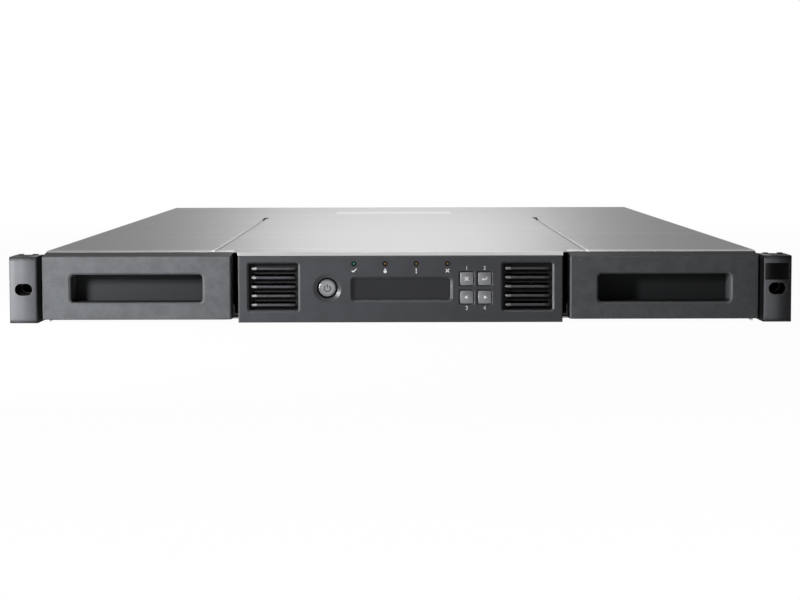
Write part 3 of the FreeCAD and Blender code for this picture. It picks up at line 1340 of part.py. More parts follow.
chips.append(box("board_socket", (controller_x[0] + 1, controller_x[0] + 1 + d.cable_width),
                 (controller_y[0] + 1, controller_y[0] + 1 + d.socket_depth),
                 (controller_top, controller_top + d.socket_height)))
finish("controller_parts", group("controller_parts", *chips))
port_sizes = (("ethernet", 14, 16.0, 13.6, 21), ("usb", 36, 13.2, 6.8, 15), ("serial", 66, 31.0, 12.4, 13))
ports = []
port_holes = []
for word, across, wide, high, deep in port_sizes:
    port_x = about(controller_x[0] + across, wide / 2)
    port_z = (d.port_level, d.port_level + high)
    case = box(f"{word}_case", port_x, (back - deep, back + 0.8), port_z)
    pit = box(f"{word}_pit", (port_x[0] + 1.2, port_x[1] - 1.2), (back - deep + 3, back + 2),
              (port_z[0] + 1.2, port_z[1] - 1.2))
    ports.append(cut(f"{word}_port", case, pit))
    port_holes.append(box(f"{word}_hole", (port_x[0] - 0.3, port_x[1] + 0.3), (wall_end - 1, back + 1),
                          (port_z[0] - 0.3, port_z[1] + 0.3)))
finish("rear_ports", group("rear_ports", *ports))

# Flat cable from the control board along the floor to the controller
cable_x = about(d.cable_offset, d.cable_width / 2)
cable_top = d.sheet + d.cable_thickness
turn_y = (rod_end + d.slide_gap, drive_front - 2 * d.drive_gap)
cable_out = (d.controller_inner + 1, d.controller_inner + 1 + d.cable_width)
cable_start = seat + d.sheet + 0.3
cable_rise = controller_y[0] - d.slide_gap
finish("panel_cable",
       fuse("panel_cable",
            box("cable_run", cable_x, (cable_start, turn_y[1]), (d.sheet, cable_top)),
            box("cable_turn", (cable_x[0], cable_out[1]), turn_y, (d.sheet, cable_top)),
            box("cable_tail", cable_out, (turn_y[0], cable_rise), (d.sheet, cable_top)),
            box("cable_climb", cable_out, (cable_rise - d.cable_thickness, cable_rise),
                (d.sheet, controller_top)),
            box("cable_riser", cable_x, (cable_start, cable_start + d.cable_thickness),
                (d.sheet, d.cable_high)),
            box("cable_end", cable_x, (board_front + d.board_thickness, cable_start + d.cable_thickness),
                (d.cable_high - d.cable_thickness, d.cable_high))))

# Rear panel
rear_holes = [box("drive_opening", about(0, drive_half - d.drive_plate_margin), (wall_end - 1, back + 1),
                  (d.drive_low + d.drive_plate_margin, d.drive_high - d.drive_plate_margin)),
              box("inlet_opening", (inlet_x[0] - 0.3, inlet_x[1] + 0.3), (wall_end - 1, back + 1),
                  (inlet_z[0] - 0.3, inlet_z[1] + 0.3))]
rear_holes += rear_knob_holes + port_holes
for number in range(-3, 4):
    level = fan_z + 5 * number
    reach = math.sqrt(17.5 ** 2 - (5 * number) ** 2)
    rear_holes.append(capsule("fan_slot", about(fan_x, reach), level, 1.6, (wall_end - 1, back + 1)))
for number in range(9):
    air_exit_x = (d.air_exit_inner, pan_half - d.air_exit_inset)
    rear_holes.append(capsule("air_exit", air_exit_x, 7 + 3.6 * number, 1.1, (wall_end - 1, back + 1)))
finish("rear_panel", cut("rear_panel", box("rear_blank", about(0, pan_half), (wall_end, back), (0, roof)),
                         *rear_holes))

# Check every piece, then write one file for each
doc.recompute()
faulty = [thing.Name for thing in doc.Objects if "Invalid" in thing.State or "Error" in thing.State]
if faulty:
    raise RuntimeError("not computed: " + ", ".join(faulty))
os.makedirs("parts", exist_ok=True)
for solid in finished:
    if solid.Shape.isNull() or not solid.Shape.isValid() or not solid.Shape.Solids:
        raise RuntimeError("no valid solid: " + solid.Label)
    solid.Shape.exportStep(f"parts/{solid.Label}.step")
    print(solid.Label, len(solid.Shape.Solids), "solids", round(solid.Shape.Volume / 1000, 2), "cm3")
print(len(finished), "pieces")
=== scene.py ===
import json
import math

import bmesh
import bpy
from mathutils import Matrix, Vector

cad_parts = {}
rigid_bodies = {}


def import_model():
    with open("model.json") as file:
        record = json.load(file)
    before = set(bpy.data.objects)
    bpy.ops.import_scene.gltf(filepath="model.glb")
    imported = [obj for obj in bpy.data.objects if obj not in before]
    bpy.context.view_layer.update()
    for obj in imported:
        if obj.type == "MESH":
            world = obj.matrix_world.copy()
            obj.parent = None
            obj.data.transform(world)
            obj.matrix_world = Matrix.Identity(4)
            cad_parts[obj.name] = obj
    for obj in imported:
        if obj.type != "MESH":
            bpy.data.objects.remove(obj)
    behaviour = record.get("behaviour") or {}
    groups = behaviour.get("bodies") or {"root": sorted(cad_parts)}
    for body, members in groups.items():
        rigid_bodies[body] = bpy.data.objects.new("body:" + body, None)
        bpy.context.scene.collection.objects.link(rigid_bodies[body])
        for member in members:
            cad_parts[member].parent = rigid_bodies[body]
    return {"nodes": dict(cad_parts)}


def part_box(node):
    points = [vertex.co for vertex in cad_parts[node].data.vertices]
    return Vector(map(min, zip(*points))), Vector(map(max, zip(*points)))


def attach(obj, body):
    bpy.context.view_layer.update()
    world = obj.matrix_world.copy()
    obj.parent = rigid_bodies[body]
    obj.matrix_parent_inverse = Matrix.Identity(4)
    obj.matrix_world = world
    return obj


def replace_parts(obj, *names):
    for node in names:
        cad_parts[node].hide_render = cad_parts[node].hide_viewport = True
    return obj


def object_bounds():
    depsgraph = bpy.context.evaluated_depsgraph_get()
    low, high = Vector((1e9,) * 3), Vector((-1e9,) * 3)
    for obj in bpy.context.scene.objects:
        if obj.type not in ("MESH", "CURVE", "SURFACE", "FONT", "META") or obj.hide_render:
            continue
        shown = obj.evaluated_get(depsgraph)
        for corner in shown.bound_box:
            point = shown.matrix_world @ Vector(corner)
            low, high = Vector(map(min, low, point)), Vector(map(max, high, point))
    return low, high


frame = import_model()
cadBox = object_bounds()
nodes = frame["nodes"]
mm = 0.001
scene = bpy.context.scene


# Shader sums: a Wire is one output of a node, and sums of wires add Math nodes
class Wire:
    def __init__(self, owner, socket):
        self.owner = owner
        self.socket = socket

    def output(self, word):
        return Wire(self.owner, self.socket.node.outputs[word])

    def math(self, operation, *values, clamp=False):
        return self.owner.node("ShaderNodeMath", {"operation": operation, "use_clamp": clamp},
                               dict(enumerate(values)))

    def __add__(self, other):
        return self.math("ADD", self, other)

    def __radd__(self, other):
        return self.math("ADD", other, self)

    def __sub__(self, other):
        return self.math("SUBTRACT", self, other)

    def __rsub__(self, other):
        return self.math("SUBTRACT", other, self)

    def __mul__(self, other):
        return self.math("MULTIPLY", self, other)

    def __rmul__(self, other):
        return self.math("MULTIPLY", other, self)

    def __truediv__(self, other):
        return self.math("DIVIDE", self, other)

    def __pow__(self, other):
        return self.math("POWER", self, other)

    def __gt__(self, other):
        return self.math("GREATER_THAN", self, other)

    def __lt__(self, other):
        return self.math("LESS_THAN", self, other)

    def __abs__(self):
        return self.math("ABSOLUTE", self)

    def atLeast(self, low):
        return self.math("MAXIMUM", self, low)

    def held(self):
        return self.math("ADD", self, 0.0, clamp=True)

    def steps(self, size):
        return self.math("FLOORED_MODULO", self, size)

    def between(self, low, high):
        return (self > low) * (self < high)


# A node tree under construction: node() makes every node, the rest are short forms of it
class NodeSheet:
    def __init__(self, tree):
        self.tree = tree
        self.split = None

    def node(self, kind, settings=None, sockets=None, output=0):
        made = self.tree.nodes.new(kind)
        for word, value in (settings or {}).items():
            setattr(made, word, value)
        for socket, value in (sockets or {}).items():
            self.plug(made.inputs[socket], value)
        return Wire(self, made.outputs[output])

    def plug(self, socket, value):
        if isinstance(value, Wire):
            self.tree.links.new(value.socket, socket)
        else:
            socket.default_value = value

    def place(self, stretch=(1, 1, 1)):
        coords = self.node("ShaderNodeTexCoord", output="Object")
        return self.node("ShaderNodeMapping", {}, {"Vector": coords, "Scale": stretch})

    def axes(self):
        # x, y and z of the surface, from one node for the whole tree
        if self.split is None:
            self.split = self.node("ShaderNodeSeparateXYZ", {}, {"Vector": self.place()})
        return self.split, self.split.output("Y"), self.split.output("Z")

    def noise(self, scale, detail, stretch=(1, 1, 1), rough=0.55):
        return self.node("ShaderNodeTexNoise", {}, {"Vector": self.place(stretch), "Scale": scale,
                                                    "Detail": detail, "Roughness": rough})

    def cells(self, scale, output):
        return self.node("ShaderNodeTexVoronoi", {}, {"Vector": self.place(), "Scale": scale}, output)

    def tint(self, factor, first, second):
        return self.node("ShaderNodeMix", {"data_type": "RGBA"}, {0: factor, 6: first, 7: second}, 2)

    def vary(self, factor, tone, spread):
        # one tone, between the darker and the lighter factor of its spread
        return self.tint(factor, *[dim(tone, share) for share in spread])

    def lean(self, factor, first, second):
        return self.node("ShaderNodeMix", {"data_type": "VECTOR"}, {0: factor, 4: first, 5: second}, 1)

    def vector(self, operation, *values, output=0):
        return self.node("ShaderNodeVectorMath", {"operation": operation}, dict(enumerate(values)), output)

    def ease(self, value, low, high, start=0.0, end=1.0, curve="SMOOTHSTEP"):
        return self.node("ShaderNodeMapRange", {"interpolation_type": curve},
                         {"Value": value, "From Min": low, "From Max": high, "To Min": start, "To Max": end})

    def edge(self, radius, gain=6.0):
        # the softened normal, and a mask of the edges that hands and tools wear
        soft = self.node("ShaderNodeBevel", {"samples": 4}, {"Radius": radius})
        flat = self.node("ShaderNodeNewGeometry", output="Normal")
        same = self.vector("DOT_PRODUCT", soft, flat, output="Value")
        return soft, ((1 - same) * gain).held()

    def bump(self, height, strength, distance, normal=None):
        sockets = {"Height": height, "Strength": strength, "Distance": distance}
        if normal is not None:
            sockets["Normal"] = normal
        return self.node("ShaderNodeBump", {}, sockets)

    def seenRays(self):
        # camera, glossy and transmission rays see the white of the studio
        seen = self.node("ShaderNodeLightPath", output="Is Camera Ray")
        return seen.atLeast(seen.output("Is Glossy Ray")).atLeast(seen.output("Is Transmission Ray"))

    def overlay(self, factor, under, over, output):
        # a second shader over the tree's own one
        both = self.node("ShaderNodeMixShader", {}, {0: factor, 1: Wire(self, under.outputs[0]), 2: over})
        self.plug(self.tree.nodes[output].inputs["Surface"], both)


# One material: a node tree with its shader
class Finish(NodeSheet):
    def __init__(self, name, **constants):
        self.material = bpy.data.materials.new(name)
        self.material.use_nodes = True
        super().__init__(self.material.node_tree)
        self.shader = self.tree.nodes["Principled BSDF"]
        self.feed(**constants)

    def feed(self, **values):
        for word, value in values.items():
            self.plug(self.shader.inputs[word.replace("_", " ")], value)


midBand = (0.3, 0.7)  # where most of a noise's values lie
grainDepth = 0.1 * mm


def shade(red, green=None, blue=None):
    # a screen value from 0 to 255 as the linear colour that a shader takes
    parts = [red, red if green is None else green, red if blue is None else blue]
    linear = [((v / 255 + 0.055) / 1.055) ** 2.4 if v > 10 else v / 255 / 12.92 for v in parts]
    return (*linear, 1.0)


def dim(colour, factor):
    return (*[channel * factor for channel in colour[:3]], 1.0)


def around(value, reach):
    return value - reach, value + reach


def blend(first, second, share):
    return first * share + second * (1 - share)


def turned(degrees, axis):
    return Matrix.Rotation(math.radians(degrees), 4, axis)


def moved(*spot):
    return Matrix.Translation(spot)


def middleOf(node):
    low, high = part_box(node)
    return (low + high) / 2


def dress(material, *names):
    for name in names:
        nodes[name].data.materials.clear()
        nodes[name].data.materials.append(material)


# Camera at the photographer's place: level with the rack, a little above it
cameraLook = {
    "place": (0.0, -1.701, 0.118),
    "tiltDown": 4.53,
    "turnLeft": 0.013,
    "roll": -0.12,
    "lens": 94.8,
    "sensor": 36.0,
    "nearest": 0.01,
}


def makeCamera(look):
    camera = bpy.data.objects.new("camera", bpy.data.cameras.new("camera"))
    camera.data.lens = look["lens"]
    camera.data.sensor_width = look["sensor"]
    camera.data.clip_start = look["nearest"]
    camera.location = look["place"]
    turn = turned(look["turnLeft"], "Z") @ turned(90 - look["tiltDown"], "X") @ turned(look["roll"], "Z")
    camera.rotation_euler = turn.to_euler()
    scene.collection.objects.link(camera)
    scene.camera = camera


makeCamera(cameraLook)
print("camera set")

# White studio under a grey ceiling, with a paler wall behind the camera. A near key from the left shapes
# the front, a rear lamp the cover
studio = {
    "worldLight": 0.07,
    "ceiling": {"rise": (0.064, 0.12), "tone": 0.26},
    "wall": {"rise": (0.2, 0.45), "tone": 0.4, "side": (0.3, -0.1)},
    "floor": {"size": 60.0, "tone": shade(244), "roughness": 0.9, "glow": (0.97, 1.0),
              "shadowReach": (0.5, 1.3)},
    "lamps": {
        "key": {"place": (-0.378, -0.741, 0.14), "aim": (-0.35, -0.39, 0.02), "size": (0.08, 0.08),
                "power": 3.8, "spare": ("top_cover", "rack_ear_left", "rack_ear_right"),
                "pass": ("ear_cap_left",)},
        "side": {"place": (-1.25, -0.6, 0.025), "aim": (0.0, -0.39, 0.024), "size": (0.3, 0.03),
                 "power": 13.3},
        "top": {"place": (0.0, -0.5, 0.9), "aim": (0.0, -0.39, 0.02), "size": (0.5, 0.1), "power": 1.7},
        "rear": {"place": (0.0, 1.7, 0.75), "aim": (0.0, 0.0, 0.04), "size": (0.5, 0.4), "power": 2.6},
    },
}


def leaveOut(group, piece):
    group.objects.link(piece)
    group.collection_objects[len(group.objects) - 1].light_linking.link_state = "EXCLUDE"


def allBut(name, names):
    # a lamp's list that leaves out a few pieces
    group = bpy.data.collections.new(name)
    for node in names:
        leaveOut(group, nodes[node])
    return group


def addLamp(name, lamp):
    data = bpy.data.lights.new(name, "AREA")
    data.shape = "RECTANGLE"
    data.size, data.size_y = lamp["size"]
    data.energy = lamp["power"]
    made = bpy.data.objects.new(name, data)
    made.location = lamp["place"]
    made.rotation_euler = (Vector(lamp["aim"]) - made.location).to_track_quat("-Z", "Y").to_euler()
    made.visible_camera = False
    if "spare" in lamp:
        # flagged off these, so that it leaves no glare on the cover and no light deep in the ear holes
        made.light_linking.receiver_collection = allBut(f"{name}_spared", lamp["spare"])
    if "pass" in lamp:
        # the near ear throws no shadow of it on the magazine beside it
        made.light_linking.blocker_collection = allBut(f"{name}_passed", lamp["pass"])
    scene.collection.objects.link(made)


def makeWorld(look):
    world = bpy.data.worlds.new("studio")
    scene.world = world
    world.use_nodes = True
    sky = NodeSheet(world.node_tree)
    split = sky.node("ShaderNodeSeparateXYZ", {}, {0: sky.node("ShaderNodeTexCoord", output="Generated")})
    forward, up = split.output("Y"), split.output("Z")
    ceiling, wall = look["ceiling"], look["wall"]
    tone = sky.ease(up, *ceiling["rise"], 1.0, ceiling["tone"], "LINEAR")
    height = sky.ease(up, *wall["rise"], 0.0, wall["tone"], "LINEAR")
    tone = tone + height * sky.ease(forward, *wall["side"], curve="LINEAR")
    ambient = sky.tree.nodes["Background"]
    sky.plug(ambient.inputs["Color"], tone)
    sky.plug(ambient.inputs["Strength"], look["worldLight"])
    seen = sky.node("ShaderNodeBackground", {}, {"Color": tone})
    sky.overlay(sky.seenRays(), ambient, seen, "World Output")


def makeFloor(look):
    floor = bmesh.new()
    bmesh.ops.create_grid(floor, x_segments=1, y_segments=1, size=look["size"] / 2)
    bmesh.ops.translate(floor, vec=(0, 0, cadBox[0].z), verts=floor.verts)
    mesh = bpy.data.meshes.new("floor")
    floor.to_mesh(mesh)
    floor.free()
    paper = Finish("floor_paper", Base_Color=look["tone"], Roughness=look["roughness"])
    away = paper.vector("LENGTH", paper.place(), output="Value")
    seen = paper.seenRays() * paper.ease(away, *look["shadowReach"], *look["glow"])
    paper.overlay(seen, paper.shader, paper.node("ShaderNodeEmission"), "Material Output")
    mesh.materials.append(paper.material)
    made = bpy.data.objects.new("floor", mesh)
    scene.collection.objects.link(made)


scene.view_settings.view_transform = "Standard"
makeWorld(studio)
makeFloor(studio["floor"])
for lampName, lampLook in studio["lamps"].items():
    addLamp(lampName, lampLook)
print("studio lit")

# Brushed sheet of the cover, with the pale blank strip near its rear edge, a painted highlight along its
# front bend and lip, and painted shade in its groove
coverLook = {
    "bright": shade(186),
    "dull": shade(172),
    "fineBrush": (5, 900, 900),
    "broadBrush": (2.2, 70, 70),
    "fineShare": 0.55,
    "roughBand": (0.25, 0.75),
    "roughness": (0.42, 0.37),
    "bump": 0.05,
    "strip": shade(200),
    "stripX": (-59 * mm, 47 * mm),
    "stripY": (228 * mm, 290 * mm),
    "stripDepth": 0.4 * mm,
    "foldHighlight": shade(240),
    "foldEnd": -366 * mm,
    "foldFade": 3 * mm,
    "foldIn": 105.0 * mm,
    "lip": shade(218),
    "lipEnd": -390 * mm,
    "grooveDepth": (0.03 * mm, 0.9 * mm),
    "grooveShadeDim": 0.5,
    "grooveShare": 0.9,
    "edge": 0.5 * mm,
    "worn": shade(232),
    "wear": 0.1,
}


def coverSteel(look):
    steel = Finish("cover_steel", Metallic=0.9)
    top = cadBox[1].z
    x, y, z = steel.axes()
    fine = steel.noise(1.0, 4.0, look["fineBrush"])
    broad = steel.noise(1.0, 3.0, look["broadBrush"])
    grain = blend(fine, broad, look["fineShare"]).held()
    colour = steel.tint(steel.ease(grain, *midBand), look["dull"], look["bright"])
    shallow, deep = look["grooveDepth"]
    # painted shade: the groove's faces are painted darker
    shadedGroove = z.between(top - deep, top - shallow) * (y > look["foldEnd"])
    colour = steel.tint(shadedGroove * look["grooveShare"], colour, dim(look["dull"], look["grooveShadeDim"]))
    # painted highlight: the front strips beside the panel are painted near white for the bright bend of the
    # cover's front edge
    foldHighlight = steel.ease(y, look["foldEnd"] - look["foldFade"], look["foldEnd"], 1.0, 0.0)
    colour = steel.tint(foldHighlight * (abs(x) > look["foldIn"]), colour, look["foldHighlight"])
    # painted highlight: the cover's lip in front of the panel is painted paler
    colour = steel.tint(y < look["lipEnd"], colour, look["lip"])
    soft, worn = steel.edge(look["edge"])
    colour = steel.tint(worn * look["wear"], colour, look["worn"])
    strip = x.between(*look["stripX"]) * y.between(*look["stripY"]) * (z > top - look["stripDepth"])
    steel.feed(Base_Color=steel.tint(strip, colour, look["strip"]),
               Roughness=steel.ease(grain, *look["roughBand"], *look["roughness"]),
               Normal=steel.bump(grain, look["bump"], grainDepth, soft))
    return steel.material


dress(coverSteel(coverLook), "top_cover")

# Moulded plastics: spark-eroded grain, faint mottling, paler worn edges. Each patch is a mask with the tone
# and the
# roughness that it gives the surface: painted shade in hollows, wells and at the ends of the ear caps, a
# painted highlight on the louvre beads, and a blank dark plate
mouldSkin = {"mottleShare": 0.6, "cloudBand": (0.35, 0.65), "wornLift": 2.6, "roughSwing": 0.05,
             "gloss": 0.3}


def hollowPatch(plastic, look, hollow):
    # walls behind the face, painted darker: painted shade in the recesses
    x, y, z = plastic.axes()
    inside = (y > hollow["deep"]) * (abs(abs(x) - hollow["across"]) < hollow["half"])
    return inside * z.between(*hollow["up"]), dim(look["tone"], hollow["dim"]), hollow["rough"]


def ringPatch(plastic, look, ring):
    # round wells, one or a row of them, painted darker: painted shade in the wells
    x, _, z = plastic.axes()
    pitch = ring["pitch"]
    across = x - ring["at"].x
    up = z - ring["at"].z
    row = across.between(-pitch / 2, pitch * (ring["count"] - 0.5))
    across = (across + pitch / 2).steps(pitch) - pitch / 2
    radius = (across * across + up * up) ** 0.5
    return row * radius.between(*ring["radius"]), dim(look["tone"], ring["dim"]), ring["rough"]


def louvrePatch(plastic, look, normal):
    # louvre beads: smoother than the panel and painted paler, a painted highlight; their ends turned outward
    # to a slanting facet
    bars = look["bars"]
    x, y, z = plastic.axes()
    along = abs(abs(x) - bars["across"])
    inside = y.between(*bars["deep"]) * (along < bars["half"]) * z.between(*bars["up"])
    tip = (along > bars["length"] / 2 - bars["tip"]) * inside
    outward = ((abs(x) > bars["across"]) * 2 - 1) * ((x > 0) * 2 - 1)
    facet = plastic.node("ShaderNodeCombineXYZ", {},
                         {"X": outward * bars["slope"], "Y": -1.0, "Z": bars["rise"]})
    normal = plastic.lean(tip * bars["facet"], normal, plastic.vector("NORMALIZE", facet))
    return (inside, dim(look["tone"], bars["highlightLift"]), bars["rough"]), normal


def crownPatch(plastic, look, normal):
    # the face swells towards its middle line, and its top and bottom ends are painted darker: painted shade
    crown = look["crown"]
    x, _, z = plastic.axes()
    off = abs(x) - crown["middle"]
    normal = plastic.bump(off * off / (-2 * crown["radius"]), 1.0, 1.0, normal)
    low, high = crown["up"]
    rims = plastic.ease(z, high - crown["fade"], high) + plastic.ease(z, low, low + crown["fade"], 1.0, 0.0)
    return (rims * crown["rims"], dim(look["tone"], crown["dim"]), None), normal


def platePatch(plastic, plate):
    # a blank dark plate
    x, y, z = plastic.axes()
    inside = x.between(*plate["across"]) * z.between(*plate["up"]) * (y < plate["deep"])
    return inside, plate["tone"], plate["rough"]


def mouldedPlastic(name, look):
    plastic = Finish(name, Specular_IOR_Level=look.get("gloss", mouldSkin["gloss"]))
    tone = look["tone"]
    grain = plastic.noise(look["grain"], 2.0)
    mottle = plastic.noise(look["mottle"], 4.0)
    soft, worn = plastic.edge(look["edge"])
    cloud = plastic.ease(blend(mottle, grain, mouldSkin["mottleShare"]), *mouldSkin["cloudBand"])
    colour = plastic.vary(cloud, tone, around(1, look["spread"]))
    colour = plastic.tint(worn * look["wear"], colour, dim(tone, mouldSkin["wornLift"]))
    rough = plastic.ease(mottle, *midBand, *around(look["roughness"], mouldSkin["roughSwing"]))
    rough = rough * (1 - worn * look.get("polish", 0.0))
    patches = [hollowPatch(plastic, look, hollow) for hollow in look.get("shadedHollows", [])]
    patches += [ringPatch(plastic, look, ring) for ring in look.get("rings", [])]
    if "bars" in look:
        patch, soft = louvrePatch(plastic, look, soft)
        patches.append(patch)
    if "crown" in look:
        patch, soft = crownPatch(plastic, look, soft)
        patches.append(patch)
    if "plate" in look:
        patches.append(platePatch(plastic, look["plate"]))
    for mask, patchTone, patchRough in patches:
        colour = plastic.tint(mask, colour, patchTone)
        if patchRough is not None:
            rough = rough * (1 - mask) + mask * patchRough
    plastic.feed(Base_Color=colour, Roughness=rough,
                 Normal=plastic.bump(grain, look["bump"], grainDepth, soft))
    return plastic.material


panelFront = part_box("control_panel")[0].y
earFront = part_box("ear_cap_right")[0].y
gripMiddle = middleOf("right_magazine_front").x
buttonMiddle = middleOf("power_button")
lightMiddle = middleOf("ready_light")
lightPitch = 19.45 * mm
ventMiddle = 79.3 * mm
earHole = 232.55 * mm
panelLook = {
    "tone": shade(56, 57, 60), "spread": 0.07, "grain": 2600.0, "mottle": 90.0, "edge": 0.4 * mm,
    # the panel's paler worn edges are strong: partly real wear, partly a painted highlight along its rims
    "wear": 0.75, "polish": 0.4, "roughness": 0.42, "bump": 0.16, "gloss": 0.25,
    "bars": {"deep": (panelFront + 0.3 * mm, panelFront + 1.9 * mm), "across": ventMiddle, "half": 15.2 * mm,
             "up": (8.0 * mm, 37.0 * mm), "length": 27.4 * mm, "tip": 3.2 * mm, "slope": 0.43, "rise": 0.18,
             "facet": 0.9, "rough": 0.3, "highlightLift": 1.3},
    # painted shade: the wells of the power button and of the lights are painted darker
    "rings": [{"at": buttonMiddle, "pitch": 40.0 * mm, "count": 1, "radius": (-1.0, 6.5 * mm),
               "dim": 0.1, "rough": 0.6},
              {"at": buttonMiddle, "pitch": 40.0 * mm, "count": 1, "radius": (6.5 * mm, 9.0 * mm),
               "dim": 0.9, "rough": 0.3},
              {"at": lightMiddle, "pitch": lightPitch, "count": 4, "radius": (-1.0, 1.7 * mm),
               "dim": 0.08, "rough": 0.7}],
    # painted shade: the vent cavity behind the louvres is painted near black
    "shadedHollows": [{"deep": panelFront + 1.9 * mm, "across": ventMiddle, "half": 15.6 * mm,
                 "up": (7.5 * mm, 37.6 * mm), "dim": 0.08, "rough": 0.6}],
}
frontLook = {
    "tone": shade(79, 81, 83), "spread": 0.12, "grain": 1500.0, "mottle": 150.0, "edge": 0.5 * mm,
    "wear": 0.35, "polish": 0.3, "roughness": 0.40, "bump": 0.22, "gloss": 0.1,
    # painted shade: the grip pockets and the sloping top of the magazine fronts are painted darker
    "shadedHollows": [{"deep": panelFront + 1.3 * mm, "across": gripMiddle, "half": 41.5 * mm,
                 "up": (12.7 * mm, 30.5 * mm), "dim": 0.32, "rough": 0.6},
                {"deep": panelFront + 0.6 * mm, "across": gripMiddle, "half": 70.0 * mm,
                 "up": (41.5 * mm, 45.0 * mm), "dim": 0.5, "rough": 0.4}],
}
trimLook = {
    "tone": shade(83, 84, 87), "spread": 0.07, "grain": 2200.0, "mottle": 80.0, "edge": 0.6 * mm,
    "wear": 0.35, "roughness": 0.38, "bump": 0.14, "gloss": 0.05,
    "crown": {"middle": 232.85 * mm, "radius": 9.5 * mm, "up": (1.2 * mm, 42.3 * mm), "fade": 3.4 * mm,
              "rims": 0.75, "dim": 0.1},
    # painted shade: the oval ear holes and the inner flank of each ear cap are painted near black
    "shadedHollows": [{"deep": earFront + 0.8 * mm, "across": earHole, "half": 5.7 * mm,
                 "up": (17.8 * mm, 26.4 * mm), "dim": 0.1, "rough": 0.6},
                {"deep": earFront + 1.0 * mm, "across": 223.95 * mm, "half": 0.6 * mm,
                 "up": (-1.0 * mm, 50.0 * mm), "dim": 0.03, "rough": 0.9}],
    "plate": {"across": (224.9 * mm, 239.2 * mm), "up": (27.4 * mm, 37.8 * mm), "deep": earFront + 0.5 * mm,
              "tone": shade(3), "rough": 0.35},
}
trayLook = {"tone": shade(57, 57, 60), "spread": 0.12, "grain": 1800.0, "mottle": 60.0, "edge": 0.4 * mm,
            "wear": 0.3, "roughness": 0.55, "bump": 0.2}
mouldLook = {"tone": shade(46, 46, 47), "spread": 0.1, "grain": 2400.0, "mottle": 120.0, "edge": 0.3 * mm,
             "wear": 0.25, "roughness": 0.5, "bump": 0.15}
gearLook = {"tone": shade(222, 220, 212), "spread": 0.03, "grain": 900.0, "mottle": 200.0, "edge": 0.2 * mm,
            "wear": 0.1, "roughness": 0.4, "bump": 0.06}
dress(mouldedPlastic("panel_graphite", panelLook), "control_panel")
dress(mouldedPlastic("magazine_graphite", frontLook), "left_magazine_front", "right_magazine_front")
dress(mouldedPlastic("ear_trim", trimLook), "ear_cap_left", "ear_cap_right")
dress(mouldedPlastic("tray_black", trayLook), "left_magazine_tray", "right_magazine_tray", "latch_left",
      "latch_right", "rod_supports", "turntable")
dress(mouldedPlastic("moulding_black", mouldLook), "fan_frame", "fan_rotor", "power_inlet", "key_switches",
      "barcode_reader")
dress(mouldedPlastic("acetal_white", gearLook), "idler_pulley", "motor_pulley", "turn_pinion",
      "gripper_pinion", "gripper_arm")

# Sheet and drawn metals: zinc with its spangle, rods, springs and casings
drawnSkin = {"specks": 700.0, "lineShare": 0.7, "spread": (0.86, 1.1), "edge": 0.3 * mm, "wear": 0.3,
             "wornLift": 1.5, "roughSwing": 0.06, "bump": 0.06}


def galvanised(name, look):
    sheet = Finish(name, Metallic=look["metallic"])
    grey = sheet.node("ShaderNodeRGBToBW", {}, {"Color": sheet.cells(look["spangle"], "Color")})
    haze = sheet.noise(look["haze"], 4.0)
    cloud = sheet.ease(blend(grey, haze, look["spangleShare"]), *look["band"])
    tone = sheet.vary(cloud, look["tone"], look["spread"])
    soft, worn = sheet.edge(look["edge"])
    sheet.feed(Base_Color=sheet.tint(worn * look["wear"], tone, look["worn"]),
               Roughness=sheet.ease(grey, *look["band"], *around(look["roughness"], look["roughSwing"])),
               Normal=sheet.bump(grey, look["bump"], grainDepth, soft))
    return sheet.material


def drawnMetal(name, look):
    metal = Finish(name, Metallic=look["metallic"])
    lines = metal.noise(1.0, 3.0, look["stretch"])
    specks = metal.noise(drawnSkin["specks"], 2.0)
    soft, worn = metal.edge(drawnSkin["edge"])
    tone = metal.vary(metal.ease(lines, *midBand), look["tone"], drawnSkin["spread"])
    bare = dim(look["tone"], drawnSkin["wornLift"])
    cloud = blend(lines, specks, drawnSkin["lineShare"])
    smooth, rough = around(look["roughness"], drawnSkin["roughSwing"])
    metal.feed(Base_Color=metal.tint(worn * drawnSkin["wear"], tone, bare),
               Roughness=metal.ease(cloud, *midBand, rough, smooth),
               Normal=metal.bump(lines, drawnSkin["bump"], grainDepth, soft))
    return metal.material


zincLook = {"tone": shade(178, 180, 182), "spread": (0.82, 1.12), "metallic": 0.85, "spangle": 130.0,
            "spangleShare": 0.6, "haze": 26.0, "band": (0.2, 0.8), "roughness": 0.42, "roughSwing": 0.07,
            "edge": 0.4 * mm, "worn": shade(225), "wear": 0.4, "bump": 0.03}
rodLook = {"tone": shade(205), "metallic": 1.0, "stretch": (900, 8, 900), "roughness": 0.2}
springLook = {"tone": shade(190, 188, 182), "metallic": 1.0, "stretch": (900, 12, 400), "roughness": 0.28}
motorLook = {"tone": shade(120, 121, 124), "metallic": 0.8, "stretch": (300, 300, 30), "roughness": 0.42}
driveLook = {"tone": shade(168, 169, 171), "metallic": 0.85, "stretch": (8, 500, 500), "roughness": 0.36}
portLook = {"tone": shade(205, 205, 204), "metallic": 1.0, "stretch": (60, 400, 400), "roughness": 0.25}
dress(galvanised("zinc_sheet_spangle", zincLook), "base_pan", "rear_panel", "rack_ear_left",
      "rack_ear_right", "magazine_rails", "carriage", "motor_bracket", "picker_frame", "drive_sled",
      "drive_plate")
brightSteel = drawnMetal("steel_bright", rodLook)
dress(brightSteel, "side_screws", "carriage_rods", "pivot_posts", "thrust_ring", "sled_knobs")
dress(drawnMetal("steel_spring", springLook), "left_magazine_springs", "right_magazine_springs")
dress(drawnMetal("motor_casing", motorLook), "carriage_motor", "turn_motor", "gripper_motor",
      "latch_solenoids")
dress(drawnMetal("drive_casing", driveLook), "tape_drive", "power_supply")
